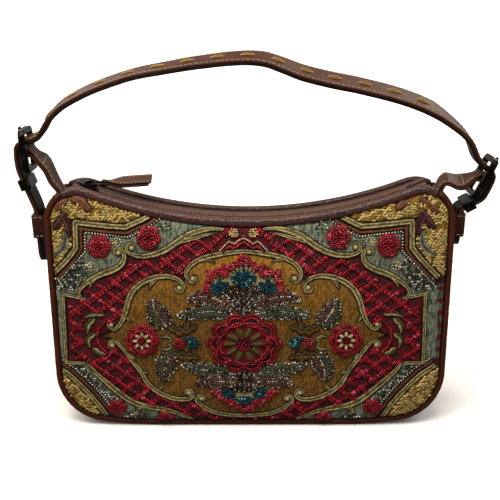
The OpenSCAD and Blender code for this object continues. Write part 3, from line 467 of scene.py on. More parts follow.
def panelGrid(columns, rows):
    fine = np.linspace(0, lastColumn, 1501)
    middle = (panelLow(fine)[:, 0] + panelHigh(fine, np.full_like(fine, panelInset))[:, 0]) / 2
    i = np.interp(np.linspace(0, middle[-1], columns + 1), middle, fine)
    hem, bunched = panelForm["hem"], panelForm["bunched"]
    underBinding = bag["bindingH"] + panelForm["bindingRoom"] - panelInset - hem
    margin = panelInset + hem + underBinding * np.minimum(1, (lastColumn - i) / panelForm["marginEase"])
    bound = np.interp(i, panelForm["boundTo"], [bag["panelT"], panelInset])
    low, high, top = panelLow(i), panelHigh(i, margin), panelHigh(i, bound)
    # rows lie closer together near both edges
    t = (1 - np.cos(np.pi * np.arange(rows + 1) / rows)) / 2 * bunched
    t = t + np.linspace(0, 1, rows + 1) * (1 - bunched)
    flat = low[:, None] + (high - low)[:, None] * t[None, :, None]
    swell = np.sqrt(np.maximum(cosD(90 / lastColumn * i), 0))[:, None]
    swell = swell * (2 * np.sqrt(t * (1 - t)))[None] ** panelForm["fullness"]
    collar = high[:, None] + (top - high)[:, None] * np.array([0.5, 1])[None, :, None]
    flat = np.concatenate([flat, collar], 1)
    swell = np.concatenate([swell, np.zeros((len(i), 2))], 1)
    depth = halfDepth(flat[..., 1]) + bag["bulge"] * swell + bag["panelT"] / 2
    grid = np.stack([flat[..., 0], -depth, flat[..., 1]], -1)
    return np.concatenate([(grid * [-1, 1, 1])[:0:-1], grid])


def gridFaces(n, m, flip=False):
    a = (np.arange(n - 1)[:, None] * m + np.arange(m - 1)).ravel()
    quads = np.stack([a, a + m, a + m + 1, a + 1], -1)
    return quads[:, ::-1] if flip else quads


def ringFaces(rows, n, flip=False):
    i, k = np.meshgrid(np.arange(rows - 1), np.arange(n), indexing="ij")
    nextK = (k + 1) % n
    quads = np.stack([i * n + k, (i + 1) * n + k, (i + 1) * n + nextK, i * n + nextK], -1).reshape(-1, 4)
    return quads[:, [0, 3, 2, 1]] if flip else quads


frontForm = {"columns": 176, "rows": 186, "slack": 0.18, "waveX": 0.21, "waveZ": 0.17}
frontGrid = panelGrid(frontForm["columns"], frontForm["rows"])
gridN, gridM = frontGrid.shape[:2]
tree = BVHTree.FromPolygons([tuple(v) for v in frontGrid[::2, ::2].reshape(-1, 3)],
                            gridFaces((gridN + 1) // 2, (gridM + 1) // 2).tolist())
# the panel's depth at every millimetre, found with rays from the front
rasterX, rasterZ = np.arange(-bag["halfW"], bag["halfW"] + 1.0), np.arange(0, bag["height"] + 5.0)
rayFrom = -200


def depthAt(x, z):
    hit = tree.ray_cast((x, rayFrom, z), (0, 1, 0))[0]
    return hit[1] if hit else np.nan


raster = np.array([[depthAt(x, z) for z in rasterZ] for x in rasterX])
raster = np.where(np.isnan(raster), -(halfDepth(rasterZ)[None] + bag["panelT"] / 2), raster)
slopeX, slopeZ = np.gradient(raster)


def fromRaster(field, x, z):
    x = np.clip(np.asarray(x, float) - rasterX[0], 0, len(rasterX) - 1.001)
    z = np.clip(np.asarray(z, float), 0, len(rasterZ) - 1.001)
    i, j = x.astype(int), z.astype(int)
    u, v = x - i, z - j
    return (field[i, j] * (1 - u) * (1 - v) + field[i + 1, j] * u * (1 - v)
            + field[i, j + 1] * (1 - u) * v + field[i + 1, j + 1] * u * v)


def panelNormal(x, z):
    toFront = -np.ones_like(np.asarray(x, float))
    return unit(np.stack([fromRaster(slopeX, x, z), toFront, fromRaster(slopeZ, x, z)], -1))


def onPanel(x, z, lift=0.0):
    return np.stack([x, fromRaster(raster, x, z), z], -1) + np.asarray(lift)[..., None] * panelNormal(x, z)


print("panel surface")

# Tapestry layout in millimetres on the panel: the left half, mirrored about the axis
axisX = -4.0
threads = {
    "sage": "#b0b89a", "sageDark": "#364030", "olive": "#766426", "oliveLight": "#f2dc92",
    "oliveDark": "#241f08", "gold": "#f0ce7c", "goldDark": "#a8822f", "ochre": "#b07c2c",
    "ochreDark": "#664412", "red": "#960818", "redBright": "#b81026", "redDark": "#4a050c",
    "glint": "#d4566a", "mauve": "#6c2a32", "mauveDark": "#3c1219", "outline": "#0a0705",
    "orange": "#ac6034", "maroon": "#52241a", "cream": "#f6e2a0", "teal": "#0c5866", "tealDark": "#06303a",
    "tealLight": "#6cb0b2", "silver": "#aea594", "silverDark": "#544e44", "black": "#100e0c",
    "white": "#f0e9d8", "leafGreen": "#6a6e4e", "leafPink": "#8a5642", "leafRust": "#c47a50",
    "umber": "#32241a",
}
dyeDepth = 0.46  # the studio light lifts every colour, so the dyes are set deeper than they look
tone = {k: linear(v) * dyeDepth for k, v in threads.items()}

redField = [(-4, 152), (-16, 148), (-28, 144), (-40, 139.5), (-50, 135), (-58, 131), (-66, 127.5),
            (-76, 126), (-86, 128), (-87, 124), (-90, 119), (-97, 115.5), (-104, 113), (-112, 109),
            (-119, 104), (-119, 98.5), (-131.5, 98.5), (-131.5, 50.5), (-119, 50.5), (-116, 47), (-110, 40),
            (-104, 34), (-98, 28), (-90, 21.5), (-82, 17.5), (-74, 15.5), (-64, 14), (-56, 12), (-48, 8.5),
            (-40, 5), (-30, 2), (-4, 2)]
goldField = [(-4, 130.5), (-10, 130.4), (-20, 129), (-28, 127.5), (-35, 125), (-41, 121), (-44.5, 116),
             (-45, 111.5), (-49, 110.5), (-54, 112.7), (-60, 113.6), (-68, 112.4), (-76, 109), (-82, 104),
             (-86, 97), (-88, 90), (-90, 84), (-93, 78.5), (-97, 75.5), (-102, 72.5), (-108, 70.5),
             (-102, 68.5), (-97.5, 66.5), (-93, 63), (-89, 58), (-84, 51), (-79, 44), (-75, 36.5),
             (-70, 30.6), (-63, 26.2), (-56, 23.4), (-49.5, 22.4), (-43, 22.5), (-39, 21), (-36, 18),
             (-31, 14), (-24, 11), (-16, 9.5), (-8, 9), (-4, 9)]
topStripe = [(-62, 160), (-72.5, 153.5), (-81, 150.3), (-87.3, 147.6), (-100, 148.6), (-113, 150.1),
             (-122.6, 151.3), (-122.6, 145), (-122.6, 133), (-128.7, 125.3), (-134.8, 119), (-142, 111.5)]
topBeads = [(-60, 154.3), (-75, 145.3), (-84.5, 141), (-87, 140.9), (-115.9, 144.3), (-115.9, 130.8),
            (-140, 105)]
footStripe = [(-142, 47), (-131.5, 40.5), (-124, 33.5), (-117, 26), (-110.8, 17.7), (-105, 8)]
footBeads = [(-137, 52), (-127, 45.5), (-119, 38), (-111.5, 30), (-105, 21.5), (-99, 11)]
topCorner = topStripe + [(-160, 111), (-160, 190), (-62, 190)]
footCorner = footStripe + [(-105, -20), (-160, -20), (-160, 47)]
fanTop = [(-4, 103), (-14, 103), (-24, 99.5), (-33, 102.5), (-31, 108), (-30, 112), (-29.5, 118),
          (-25, 116.5), (-21.5, 119.5), (-18, 116), (-18.5, 121.5), (-14, 120.5), (-11.5, 123), (-8.5, 124),
          (-5.8, 128.5), (-4, 127)]
fanFoot = [(-4, 11.5), (-7, 15), (-10, 14.5), (-12, 18), (-16, 18), (-18, 21.5), (-22, 22), (-24, 26),
           (-28, 28.5), (-22, 30), (-4, 30)]
plumeTop = [(-4, 84), (-12, 92), (-22, 101), (-14, 107), (-4, 107)]
plumeFoot = [(-4, 52), (-12, 43), (-20, 33), (-12, 28), (-4, 27)]
tealFields = [
    [(-27, 103), (-26, 109), (-24, 108.5), (-21.5, 112), (-19, 109.5), (-15, 110), (-14.5, 105.5),
     (-18, 103.5), (-20, 100), (-25, 100.5)],
    [(-48, 70), (-44, 69.5), (-39, 69.5), (-35, 65), (-39, 60.5), (-45, 61.5), (-43, 65)],
    [(-21, 29), (-20, 25), (-16, 23.5), (-11, 23), (-10, 26.5), (-14, 30), (-19, 31.5)],
    [(-4, 119.5), (-6, 116.5), (-9, 117.5), (-9.5, 114.5), (-13.5, 113.5), (-13, 109.5), (-9, 107.5),
     (-4, 104.5)],
    [(-4, 16), (-7, 19.5), (-9, 19), (-12, 22), (-8, 24.5), (-4, 25)]]
smallRosettes = [(-106, 134.5, 8.2), (-71, 140, 8.4), (-97, 16, 6.5), (-62, 7.6, 5.5)]
work = {"scrollRise": 1.2, "cordR": 0.5, "beadR": 0.68, "slant": 36, "alongPitch": 9.6, "acrossPitch": 8.4,
        "alongStep": 3.05, "acrossStep": 1.5, "rowGap": 1.25, "margin": 2.3, "bugleL": 3.0, "bugleR": 0.8,
        "knotPitch": (2.4, 1.6), "scallop": 5.6, "trellisFrom": (-70.0, 80.0), "lineHalf": 1.9}
border = {"from": 134, "low": 44, "high": 112, "dull": 0.7, "pitch": 9, "middle": 136.4, "half": 3.0}


def toLeft(x):
    return np.where(x > axisX, 2 * axisX - x, x)


def inside(polygon, x, z):
    hit = np.zeros(np.shape(x), bool)
    for (x0, z0), (x1, z1) in zip(polygon, polygon[1:] + polygon[:1]):
        hit ^= ((z0 > z) != (z1 > z)) & (x < (x1 - x0) * (z - z0) / (z1 - z0 + 1e-12) + x0)
    return hit


def distance(line, x, z):
    best = np.full(np.shape(x), 1e9)
    for (x0, z0), (x1, z1) in zip(line, line[1:]):
        dx, dz = x1 - x0, z1 - z0
        t = np.clip(((x - x0) * dx + (z - z0) * dz) / (dx * dx + dz * dz), 0, 1)
        best = np.minimum(best, np.hypot(x - x0 - t * dx, z - z0 - t * dz))
    return best


def grain(x, z, wide, tall):
    # one chance value for each length of thread
    column = np.floor(x / wide)
    row = np.floor(z / tall + 7.3 * np.sin(column * 12.9))
    return np.mod(np.sin(column * 127.1 + row * 311.7) * 43758.5, 1.0)


def groundTint(x, z):
    # fields of plain colour, each thread in them a little lighter or darker
    u = toLeft(x)

    def cloth(low, high, wide, tall):
        share = grain(x, z, wide, tall)[:, None]
        return tone[low] * (1 - share) + tone[high] * share

    made = cloth("sageDark", "sage", 0.85, 3.2)
    red, medal = inside(redField, u, z), inside(goldField, u, z)
    made[red] = cloth("mauveDark", "mauve", 0.9, 1.1)[red]
    for rise, pitch in ((work["slant"], work["alongPitch"]), (-work["slant"], work["acrossPitch"])):
        across = (z - work["trellisFrom"][1]) * cosD(rise) - (u - work["trellisFrom"][0]) * sinD(rise)
        onRow = np.abs(np.mod(across + pitch / 2, pitch) - pitch / 2) < work["lineHalf"]
        made[red & onRow] = tone["red"] * 0.6
    paler = np.interp(z, [15, 70, 100, 128], [0.95, 0.85, 1.2, 2.3])[:, None]  # towards the medallion's top
    made[medal] = (cloth("ochreDark", "ochre", 0.8, 2.4) * paler)[medal]
    fields = [(fanTop, "gold", "cream"), (fanFoot, "gold", "cream"), (plumeTop, "umber", "ochreDark"),
              (plumeFoot, "umber", "ochreDark")] + [(q, "tealDark", "teal") for q in tealFields]
    for field, low, high in fields:
        spot = inside(field, u, z)
        made[spot] = cloth(low, high, 1.1, 1.1)[spot]
    for field, rim in ((fanTop, fanTop[3:]), (fanFoot, fanFoot[:-2])):
        made[inside(field, u, z) & (distance(rim, u, z) < 3.4)] = tone["red"] * 0.7
    for x0, z0, r in smallRosettes:
        made[np.hypot(u - x0, z - z0) < r] = tone["redDark"]
    for line in (redField, goldField, topBeads, footBeads):
        made[distance(line, u, z) < 1.0] = tone["outline"]
    for line, corner in ((topStripe, topCorner), (footStripe, footCorner)):
        away = distance(line, u, z) * np.where(inside(corner, u, z), -1, 1)
        for low, high, name in (
                (-99, -2.9, "goldDark"), (-2.9, -2.1, "outline"), (-2.1, 2.1, "oliveDark"),
                (2.1, 3, "outline"), (3, 4.8, "maroon"), (4.8, 5.6, "outline")):
            made[(away >= low) & (away < high)] = tone[name]
    # the cloth's border, with its lozenges, shows along the right side only
    edge = (x > border["from"]) & (z > border["low"]) & (z < border["high"])
    made[edge] *= border["dull"]
    lozenge = np.abs(np.mod(z, border["pitch"]) - border["pitch"] / 2) + np.abs(x - border["middle"])
    made[edge & (lozenge < border["half"])] = tone["red"] * 0.6
    return made * (1 + 0.12 * chance.standard_normal((len(x), 1)))


front = Pile()
slack = (frontForm["slack"] * np.sin(frontGrid[..., :1] * frontForm["waveX"])
         * np.sin(frontGrid[..., 2:] * frontForm["waveZ"]))
soft = frontGrid + np.array([0, 1, 0]) * slack
gx, gz = frontGrid[..., 0].ravel(), frontGrid[..., 2].ravel()
front.add(soft, [gridFaces(gridN, gridM)], groundTint(gx, gz), np.stack([gx, gz], -1))
frontPiece = front.piece("front_tapestry", tapestry)
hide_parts("front_panel", "trellis_field", "corner_fields", "medallion_field")

# Small shapes that are copied many times: a round bead, a long bead that also serves as a stitch
lat = np.radians([-25, 20, 58])
ringA = np.arange(7) * 2 * math.pi / 7
roundBead = np.concatenate([
    np.stack([np.cos(e) * np.cos(ringA), np.cos(e) * np.sin(ringA), np.full(7, np.sin(e))], -1)
    for e in lat] + [[[0, 0, 1]]])
roundFaces = [ringFaces(3, 7, True), np.array([(14 + i, 14 + (i + 1) % 7, 21) for i in range(7)])]
ringB = np.arange(6) * math.pi / 3
longBead = np.concatenate([np.stack([np.full(6, x), r * np.cos(ringB), r * np.sin(ringB)], -1)
                           for x, r in ((-1, 0.4), (-0.8, 0.92), (0.8, 0.92), (1, 0.4))])
longFaces = [ringFaces(4, 6), np.array([[0, 1, 2, 3, 4, 5], [23, 22, 21, 20, 19, 18]])]

# the part of the panel in view between piping and binding
shown = np.concatenate([lowerEdge(6.3, 149, 3), upperEdge(bag["bindingH"] + 0.7, 151, 3)[::-1]])
shown = [tuple(q) for q in shown]
floss, outlines, glass, bugles, knots = (Pile() for _ in range(5))


def scatter(pile, shape, faces, place, ax, ay, az, tint, vary=0.15):
    place = np.asarray(place, float).reshape(-1, 3)
    count = len(place)
    if not count:
        return
    verts = (place[:, None] + shape[None, :, :1] * ax[:, None] + shape[None, :, 1:2] * ay[:, None]
             + shape[None, :, 2:] * az[:, None])
    shift = (len(shape) * np.arange(count))[:, None, None]
    uneven = (1 + vary * chance.standard_normal((count, 1))).clip(0.4, 1.8)
    colour = np.broadcast_to(tint, (count, 3)) * uneven
    pile.add(verts, [(f[None] + shift).reshape(-1, f.shape[1]) for f in faces],
             np.repeat(colour, len(shape), 0), np.tile(shape[:, :2] * 2, (count, 1)))


def bead(pile, x, z, r, tint, lift=0.0, angle=None, length=None, vary=0.2):
    # beads in view on the panel: round ones, or long ones lying at an angle
    x, z = np.asarray(x, float), np.asarray(z, float)
    keep = inside(shown, x, z)
    tint = np.broadcast_to(tint, (len(x), 3))[keep]
    lift = np.broadcast_to(lift, x.shape)[keep]
    angle = np.broadcast_to(0.0 if angle is None else angle, x.shape)[keep]
    x, z = x[keep], z[keep]
    n = panelNormal(x, z)
    across = unit(np.cross([0, 0, 1.0], n))
    across = across * np.sign(across[:, :1])
    up = np.cross(across, n)
    up = up * np.sign(up[:, 2:])
    d = across * np.cos(angle)[:, None] + up * np.sin(angle)[:, None]
    if length is None:
        shape, faces, seat, reach = roundBead, roundFaces, 0.3, r
    else:
        shape, faces, seat, reach = longBead, longFaces, 0.4, length / 2
    scatter(pile, shape, faces, onPanel(x, z, lift + seat * r), d * reach, np.cross(n, d) * r, n * r,
            tint, vary)


def picks(names, count):
    return np.array([tone[q] for q in names])[chance.integers(0, len(names), count)]


def tube(pile, path, normal, radius, tint, sides=5):
    along = tangents(path)
    side = unit(np.cross(along, normal))
    up = np.cross(side, along)
    a = np.arange(sides) * 2 * math.pi / sides
    radius = np.broadcast_to(radius, len(path)).copy()
    radius[[0, -1]] *= 0.5
    ring = path[:, None] + radius[:, None, None] * (side[:, None] * np.cos(a)[None, :, None]
                                                    + up[:, None] * np.sin(a)[None, :, None])
    n = len(path)
    caps = np.array([np.arange(sides)[::-1], (n - 1) * sides + np.arange(sides)])
    flat = np.stack(np.broadcast_arrays(runOf(path)[:, None] + 0.35 * a[None], a[None]), -1)
    pile.add(ring, [ringFaces(n, sides, True), caps], tint, flat)


def mirrored(p):
    return np.asarray(p, float) * [-1, 1] + [2 * axisX, 0]


def onLine(line):
    base, normal = onPanel(line[:, 0], line[:, 1]), panelNormal(line[:, 0], line[:, 1])
    return base, unit(np.cross(tangents(base), normal)), normal


def spans(mask):
    # stretches of a line that are in view
    cut = np.flatnonzero(np.diff(np.concatenate([[0], mask.astype(int), [0]])))
    return [slice(a, b) for a, b in zip(cut[::2], cut[1::2]) if b - a > 4]


def raised(base, side, normal, off, high):
    return base[:, None] + side[:, None] * off[..., None] + normal[:, None] * high[..., None]


def cordRound(x, z, lift):
    # a dark cord laid round a closed shape
    x, z = np.append(x, x[0]), np.append(z, z[0])
    tube(outlines, onPanel(x, z, np.full(len(x), lift)), panelNormal(x, z), work["cordR"], tone["outline"])


def band(points, widths, edge="oliveDark", strand="oliveLight", core="olive", rise=None, straight=False,
         cord="outline"):
    # two raised strands beside a dashed core, between dark cords
    rise = rise or work["scrollRise"]
    c = np.array([-1, -0.82, -0.58, -0.3, 0, 0.3, 0.58, 0.82, 1])
    share = np.array([0, 0.45, 1, 0.5, 0, 0.5, 1, 0.45, 0])[None, :, None]
    form = np.array([0, 0.72, 1, 0.6, 0.45, 0.6, 1, 0.72, 0])[None]
    for pts in (points, mirrored(points)):
        whole = evenly(pts, 0.6) if straight else smoothLine(pts, 0.6)
        wholeRun = runOf(whole)
        wholeHalf = np.interp(wholeRun, np.linspace(0, wholeRun[-1], len(widths)), widths) / 2
        for part in spans(inside(shown, whole[:, 0], whole[:, 1])):
            line, run, half = whole[part], wholeRun[part], wholeHalf[part]
            base, side, normal = onLine(line)
            verts = raised(base, side, normal, half[:, None] * c,
                           rise * form * np.minimum(1, half / 1.4)[:, None])
            middle = np.where((np.sin(run * 2.4) > 0.1)[:, None], tone[core], tone[edge] * 0.6)[:, None]
            low = np.where((np.abs(c) < 0.4)[None, :, None], middle, tone[edge])
            lots = np.arange(0, run[-1] + 3, 1.6)
            strands = [np.interp(run, lots, chance.uniform(0.1, 1.5, len(lots))) for _ in c]
            ply = np.stack(strands, -1)[..., None]
            tint = low * (1 - share) + tone[strand] * share * ply
            flat = np.stack(np.broadcast_arrays(run[:, None] + 1.2 * c, half[:, None] * c), -1)
            floss.add(verts, [gridFaces(len(line), len(c), True)], tint.reshape(-1, 3), flat)
            if cord:
                for way in (-1, 1):
                    rim = base + side * (way * half)[:, None] + normal * 0.25
                    tube(outlines, rim[::2], normal[::2], work["cordR"], tone[cord])


def knob(x, z, r):
    # a scroll's rolled end
    a = np.arange(12) * math.pi / 6
    rho, share = r * np.array([0.1, 0.55, 0.85, 1]), np.array([1, 0.85, 0.4, 0.1])
    for x0 in (x, 2 * axisX - x):
        px, pz = x0 + rho[:, None] * np.cos(a), z + rho[:, None] * np.sin(a)
        high = np.repeat(work["scrollRise"] * np.array([1.3, 1.1, 0.6, 0]), 12)
        light = np.repeat(share, 12)[:, None]
        tint = light * tone["oliveLight"] + (1 - light) * tone["oliveDark"]
        floss.add(onPanel(px.ravel(), pz.ravel(), high), [ringFaces(4, 12), np.arange(12)[None]], tint)
        cordRound(px[-1], pz[-1], 0.25)


def leaf(axis, hw, fills, beads=(), scallop=0.34, rise=1.1):
    # two halves of slanting stitches; fills are the colours of one half, the other and the dark rib
    c = np.linspace(-1, 1, 9)
    left, right, rib = (tone[q] for q in fills)
    share = np.array([0.15, 0.7, 1, 1, 0.1, 1, 1, 0.7, 0.15])[None, :, None]
    form = np.array([0, 0.6, 0.95, 1, 0.5, 1, 0.95, 0.6, 0])[None]
    for pts, turned in ((axis, 1), (mirrored(axis), -1)):
        line = smoothLine(pts, 0.7)
        line = line[inside(shown, line[:, 0], line[:, 1])]
        base, side, normal = onLine(line)
        run = runOf(line)
        t = run / run[-1]
        half = hw * np.sin(np.pi * (0.03 + 0.955 * t) ** 0.75) ** 0.7
        half = half * (1 - scallop + scallop * np.abs(np.sin(np.pi * run / work["scallop"])))
        verts = raised(base, side, normal, half[:, None] * c, rise * form * np.minimum(1, half / 2)[:, None])
        fill = np.where((c * turned > 0)[None, :, None], right, left)
        stitches = (0.8 + 0.35 * np.sin((run[:, None] - np.abs(half[:, None] * c)) * 4.2))[..., None]
        stitches = stitches * chance.uniform(0.3, 1.2, (len(line), len(c), 1))
        tint = rib * (1 - share) + fill * share * stitches
        flat = np.stack(np.broadcast_arrays(run[:, None] + np.abs(half[:, None] * c), half[:, None] * c), -1)
        floss.add(verts, [gridFaces(len(line), len(c), True)], tint.reshape(-1, 3), flat)
        for way in (-1, 1):
            rim = base + side * (way * half)[:, None] + normal * 0.2
            tube(outlines, rim[::2], normal[::2], work["cordR"], tone["outline"])
        if not beads:
            continue
        t2 = tangents(line)
        flatSide = np.stack([-t2[:, 1], t2[:, 0]], -1)

        def strew(at, off, names, lift):
            x, z = (np.interp(at, run, line[:, k]) + off * np.interp(at, run, flatSide[:, k]) for k in (0, 1))
            bead(glass, x, z, work["beadR"], picks(names, len(x)), lift, vary=0.3)

        at = np.arange(0.8, run[-1] - 0.5, 1.55)
        strew(at, np.zeros(len(at)), beads, 0.6 * rise)
        for way in (-1, 1):
            strew(at, way * 0.94 * np.interp(at, run, half), beads, 0.35)
            for s in np.arange(2.0, run[-1] - 3, work["scallop"] / 2):
                off = np.arange(1.6, 0.8 * np.interp(s + 1.5, run, half), 1.6)
                strew(s + 0.9 * off, way * off, ["silverDark", *fills[:2]], 0.95 * rise)


def row(points, names, step=1.6, r=0.72, lift=0.2, length=None, both=True):
    line = evenly(points, step)
    for pts in (line, mirrored(line)) if both else (line,):
        t = tangents(pts)
        bead(glass if length is None else bugles, pts[:, 0], pts[:, 1], r, picks(names, len(pts)), lift,
             np.arctan2(t[:, 1] * np.sign(t[:, 0] + 1e-9), np.abs(t[:, 0])), length)


def fill(shape, names, step=1.65, r=0.76, lift=0.2, length=None, rim=None, width=4.0):
    # close-set beads of mixed colours inside a polygon, or only in the band along its rim
    low, high = np.min(shape, axis=0), np.max(shape, axis=0)
    z, x = np.meshgrid(np.arange(low[1], high[1], step * 0.87), np.arange(low[0], high[0], step),
                       indexing="ij")
    x = x + (np.arange(len(x)) % 2)[:, None] * step / 2
    x, z = x.ravel() + chance.normal(0, 0.16, x.size), z.ravel() + chance.normal(0, 0.16, x.size)
    keep = inside([tuple(q) for q in shape], x, z)
    if rim is not None:
        keep &= distance(rim, x, z) < width
    x, z = x[keep], z[keep]
    middle = np.mean(shape, axis=0)
    far = np.hypot(x - middle[0], z - middle[1]) / (np.max(np.hypot(*(np.asarray(shape) - middle).T)) + 1e-9)
    up = lift + 1.1 * np.sqrt(np.maximum(1 - far ** 2, 0))
    for flip in (False, True):
        bead(glass if length is None else bugles, 2 * axisX - x if flip else x, z, r, picks(names, len(x)),
             up, chance.uniform(-1.5, 1.5, len(x)), length)


def lobed(cx, cz, r, lobes, depth=0.18):
    a = np.arange(lobes * 8) * 2 * math.pi / (lobes * 8)
    reach = r * (1 - depth + depth * np.abs(np.cos(lobes * a / 2)) ** 0.7)
    return np.stack([cx + reach * np.cos(a), cz + reach * np.sin(a)], -1)


def steep(q):
    # the way a bead lies when it points at angle q, kept between -90 and 90 degrees
    return math.atan2(math.sin(q) * np.sign(math.cos(q)), abs(math.cos(q)))


# glint is a pale pink given to a few beads at random, a painted highlight
reds = ["red", "redBright", "red"] * 7 + ["redDark"] * 3 + ["glint"]


def rosette(cx, cz, r, petals, core, star, rays, pale, both=True, rise=2.0, wide=1.0):
    # red petals edged with long beads round a pale star and a red core, both given as shares of the radius
    for x0 in (cx, 2 * axisX - cx) if both else (cx,):
        a = np.arange(petals * 14) * 2 * math.pi / (petals * 14)
        lobe = np.abs(np.cos(petals * a / 2)) ** 0.7
        ray = np.abs(np.cos(rays * a / 2)) ** 1.5
        shares = np.linspace(0, 1, 15)
        edge = r * (0.8 + 0.2 * lobe)
        rho = shares[:, None] * (shares[:, None] * edge[None] + (1 - shares[:, None]) * r)
        high = rise * np.sqrt(np.maximum(1 - shares ** 2.6, 0))[:, None] * (0.68 + 0.32 * lobe)[None]
        x, z = x0 + wide * rho * np.cos(a), cz + rho * np.sin(a)
        tip = core + (star - core) * (0.35 + 0.65 * ray)
        s = shares[:, None] + 0 * a[None]
        vein = (s > 0.68) & (s < 0.88) & (lobe > 0.75)[None]
        tint = np.where(vein[..., None], tone["mauveDark"], tone["red"] * 0.6)
        tint = np.where((s < tip[None])[..., None], tone[pale] * (0.45 + 0.55 * ray)[None, :, None], tint)
        tint = np.where((s < core)[..., None], tone["redDark"], tint)
        tint = tint * chance.uniform(0.55, 1.45, (*s.shape, 1))
        floss.add(onPanel(x.ravel(), z.ravel(), high.ravel()), [ringFaces(len(shares), len(a))],
                  tint.reshape(-1, 3), np.stack([rho * a, rho], -1))
        cordRound(x[-1], z[-1], 0.2)

        def ring(share, names, sharp, pile=bugles, length=2.3):
            reach = r * share * (1 - sharp + sharp * lobe)
            loop = np.stack([x0 + wide * reach * np.cos(a), cz + reach * np.sin(a)], -1)
            loop = evenly(np.concatenate([loop, loop[:1]]), 1.75)[:-1]
            way = np.roll(loop, -1, 0) - np.roll(loop, 1, 0)
            way = way * np.sign(way[:, :1] + 1e-9)
            bead(pile, loop[:, 0], loop[:, 1], 0.76, picks(names, len(loop)),
                 rise * math.sqrt(max(1 - share ** 2.6, 0.04)), np.arctan2(way[:, 1], way[:, 0]), length)

        for share, sharp in ((0.97, 0.2), (0.87, 0.22), (0.7, 0.12), (star + 0.05, -0.12)):
            ring(share, reds, sharp)
        for q in (np.arange(petals) + 0.5) * 2 * math.pi / petals:
            reach = np.arange(star + 0.12, 0.8, 2.0 / r) * r
            bead(bugles, x0 + wide * reach * np.cos(q), cz + reach * np.sin(q), 0.76,
                 picks(reds, len(reach)), 0.55 * rise, steep(q), 2.2)
        for q in np.arange(rays) * 2 * math.pi / rays:
            mid = (core + star) / 2 * r
            bead(knots, [x0 + wide * mid * math.cos(q)], [cz + mid * math.sin(q)], 0.8, tone[pale],
                 rise * 0.95, steep(q), (star - core) * r * 0.95)
        for share in np.arange(1.2 / r, core, 1.7 / r):
            ring(share, ["red", "redBright", "redDark"], 0.0, glass, None)


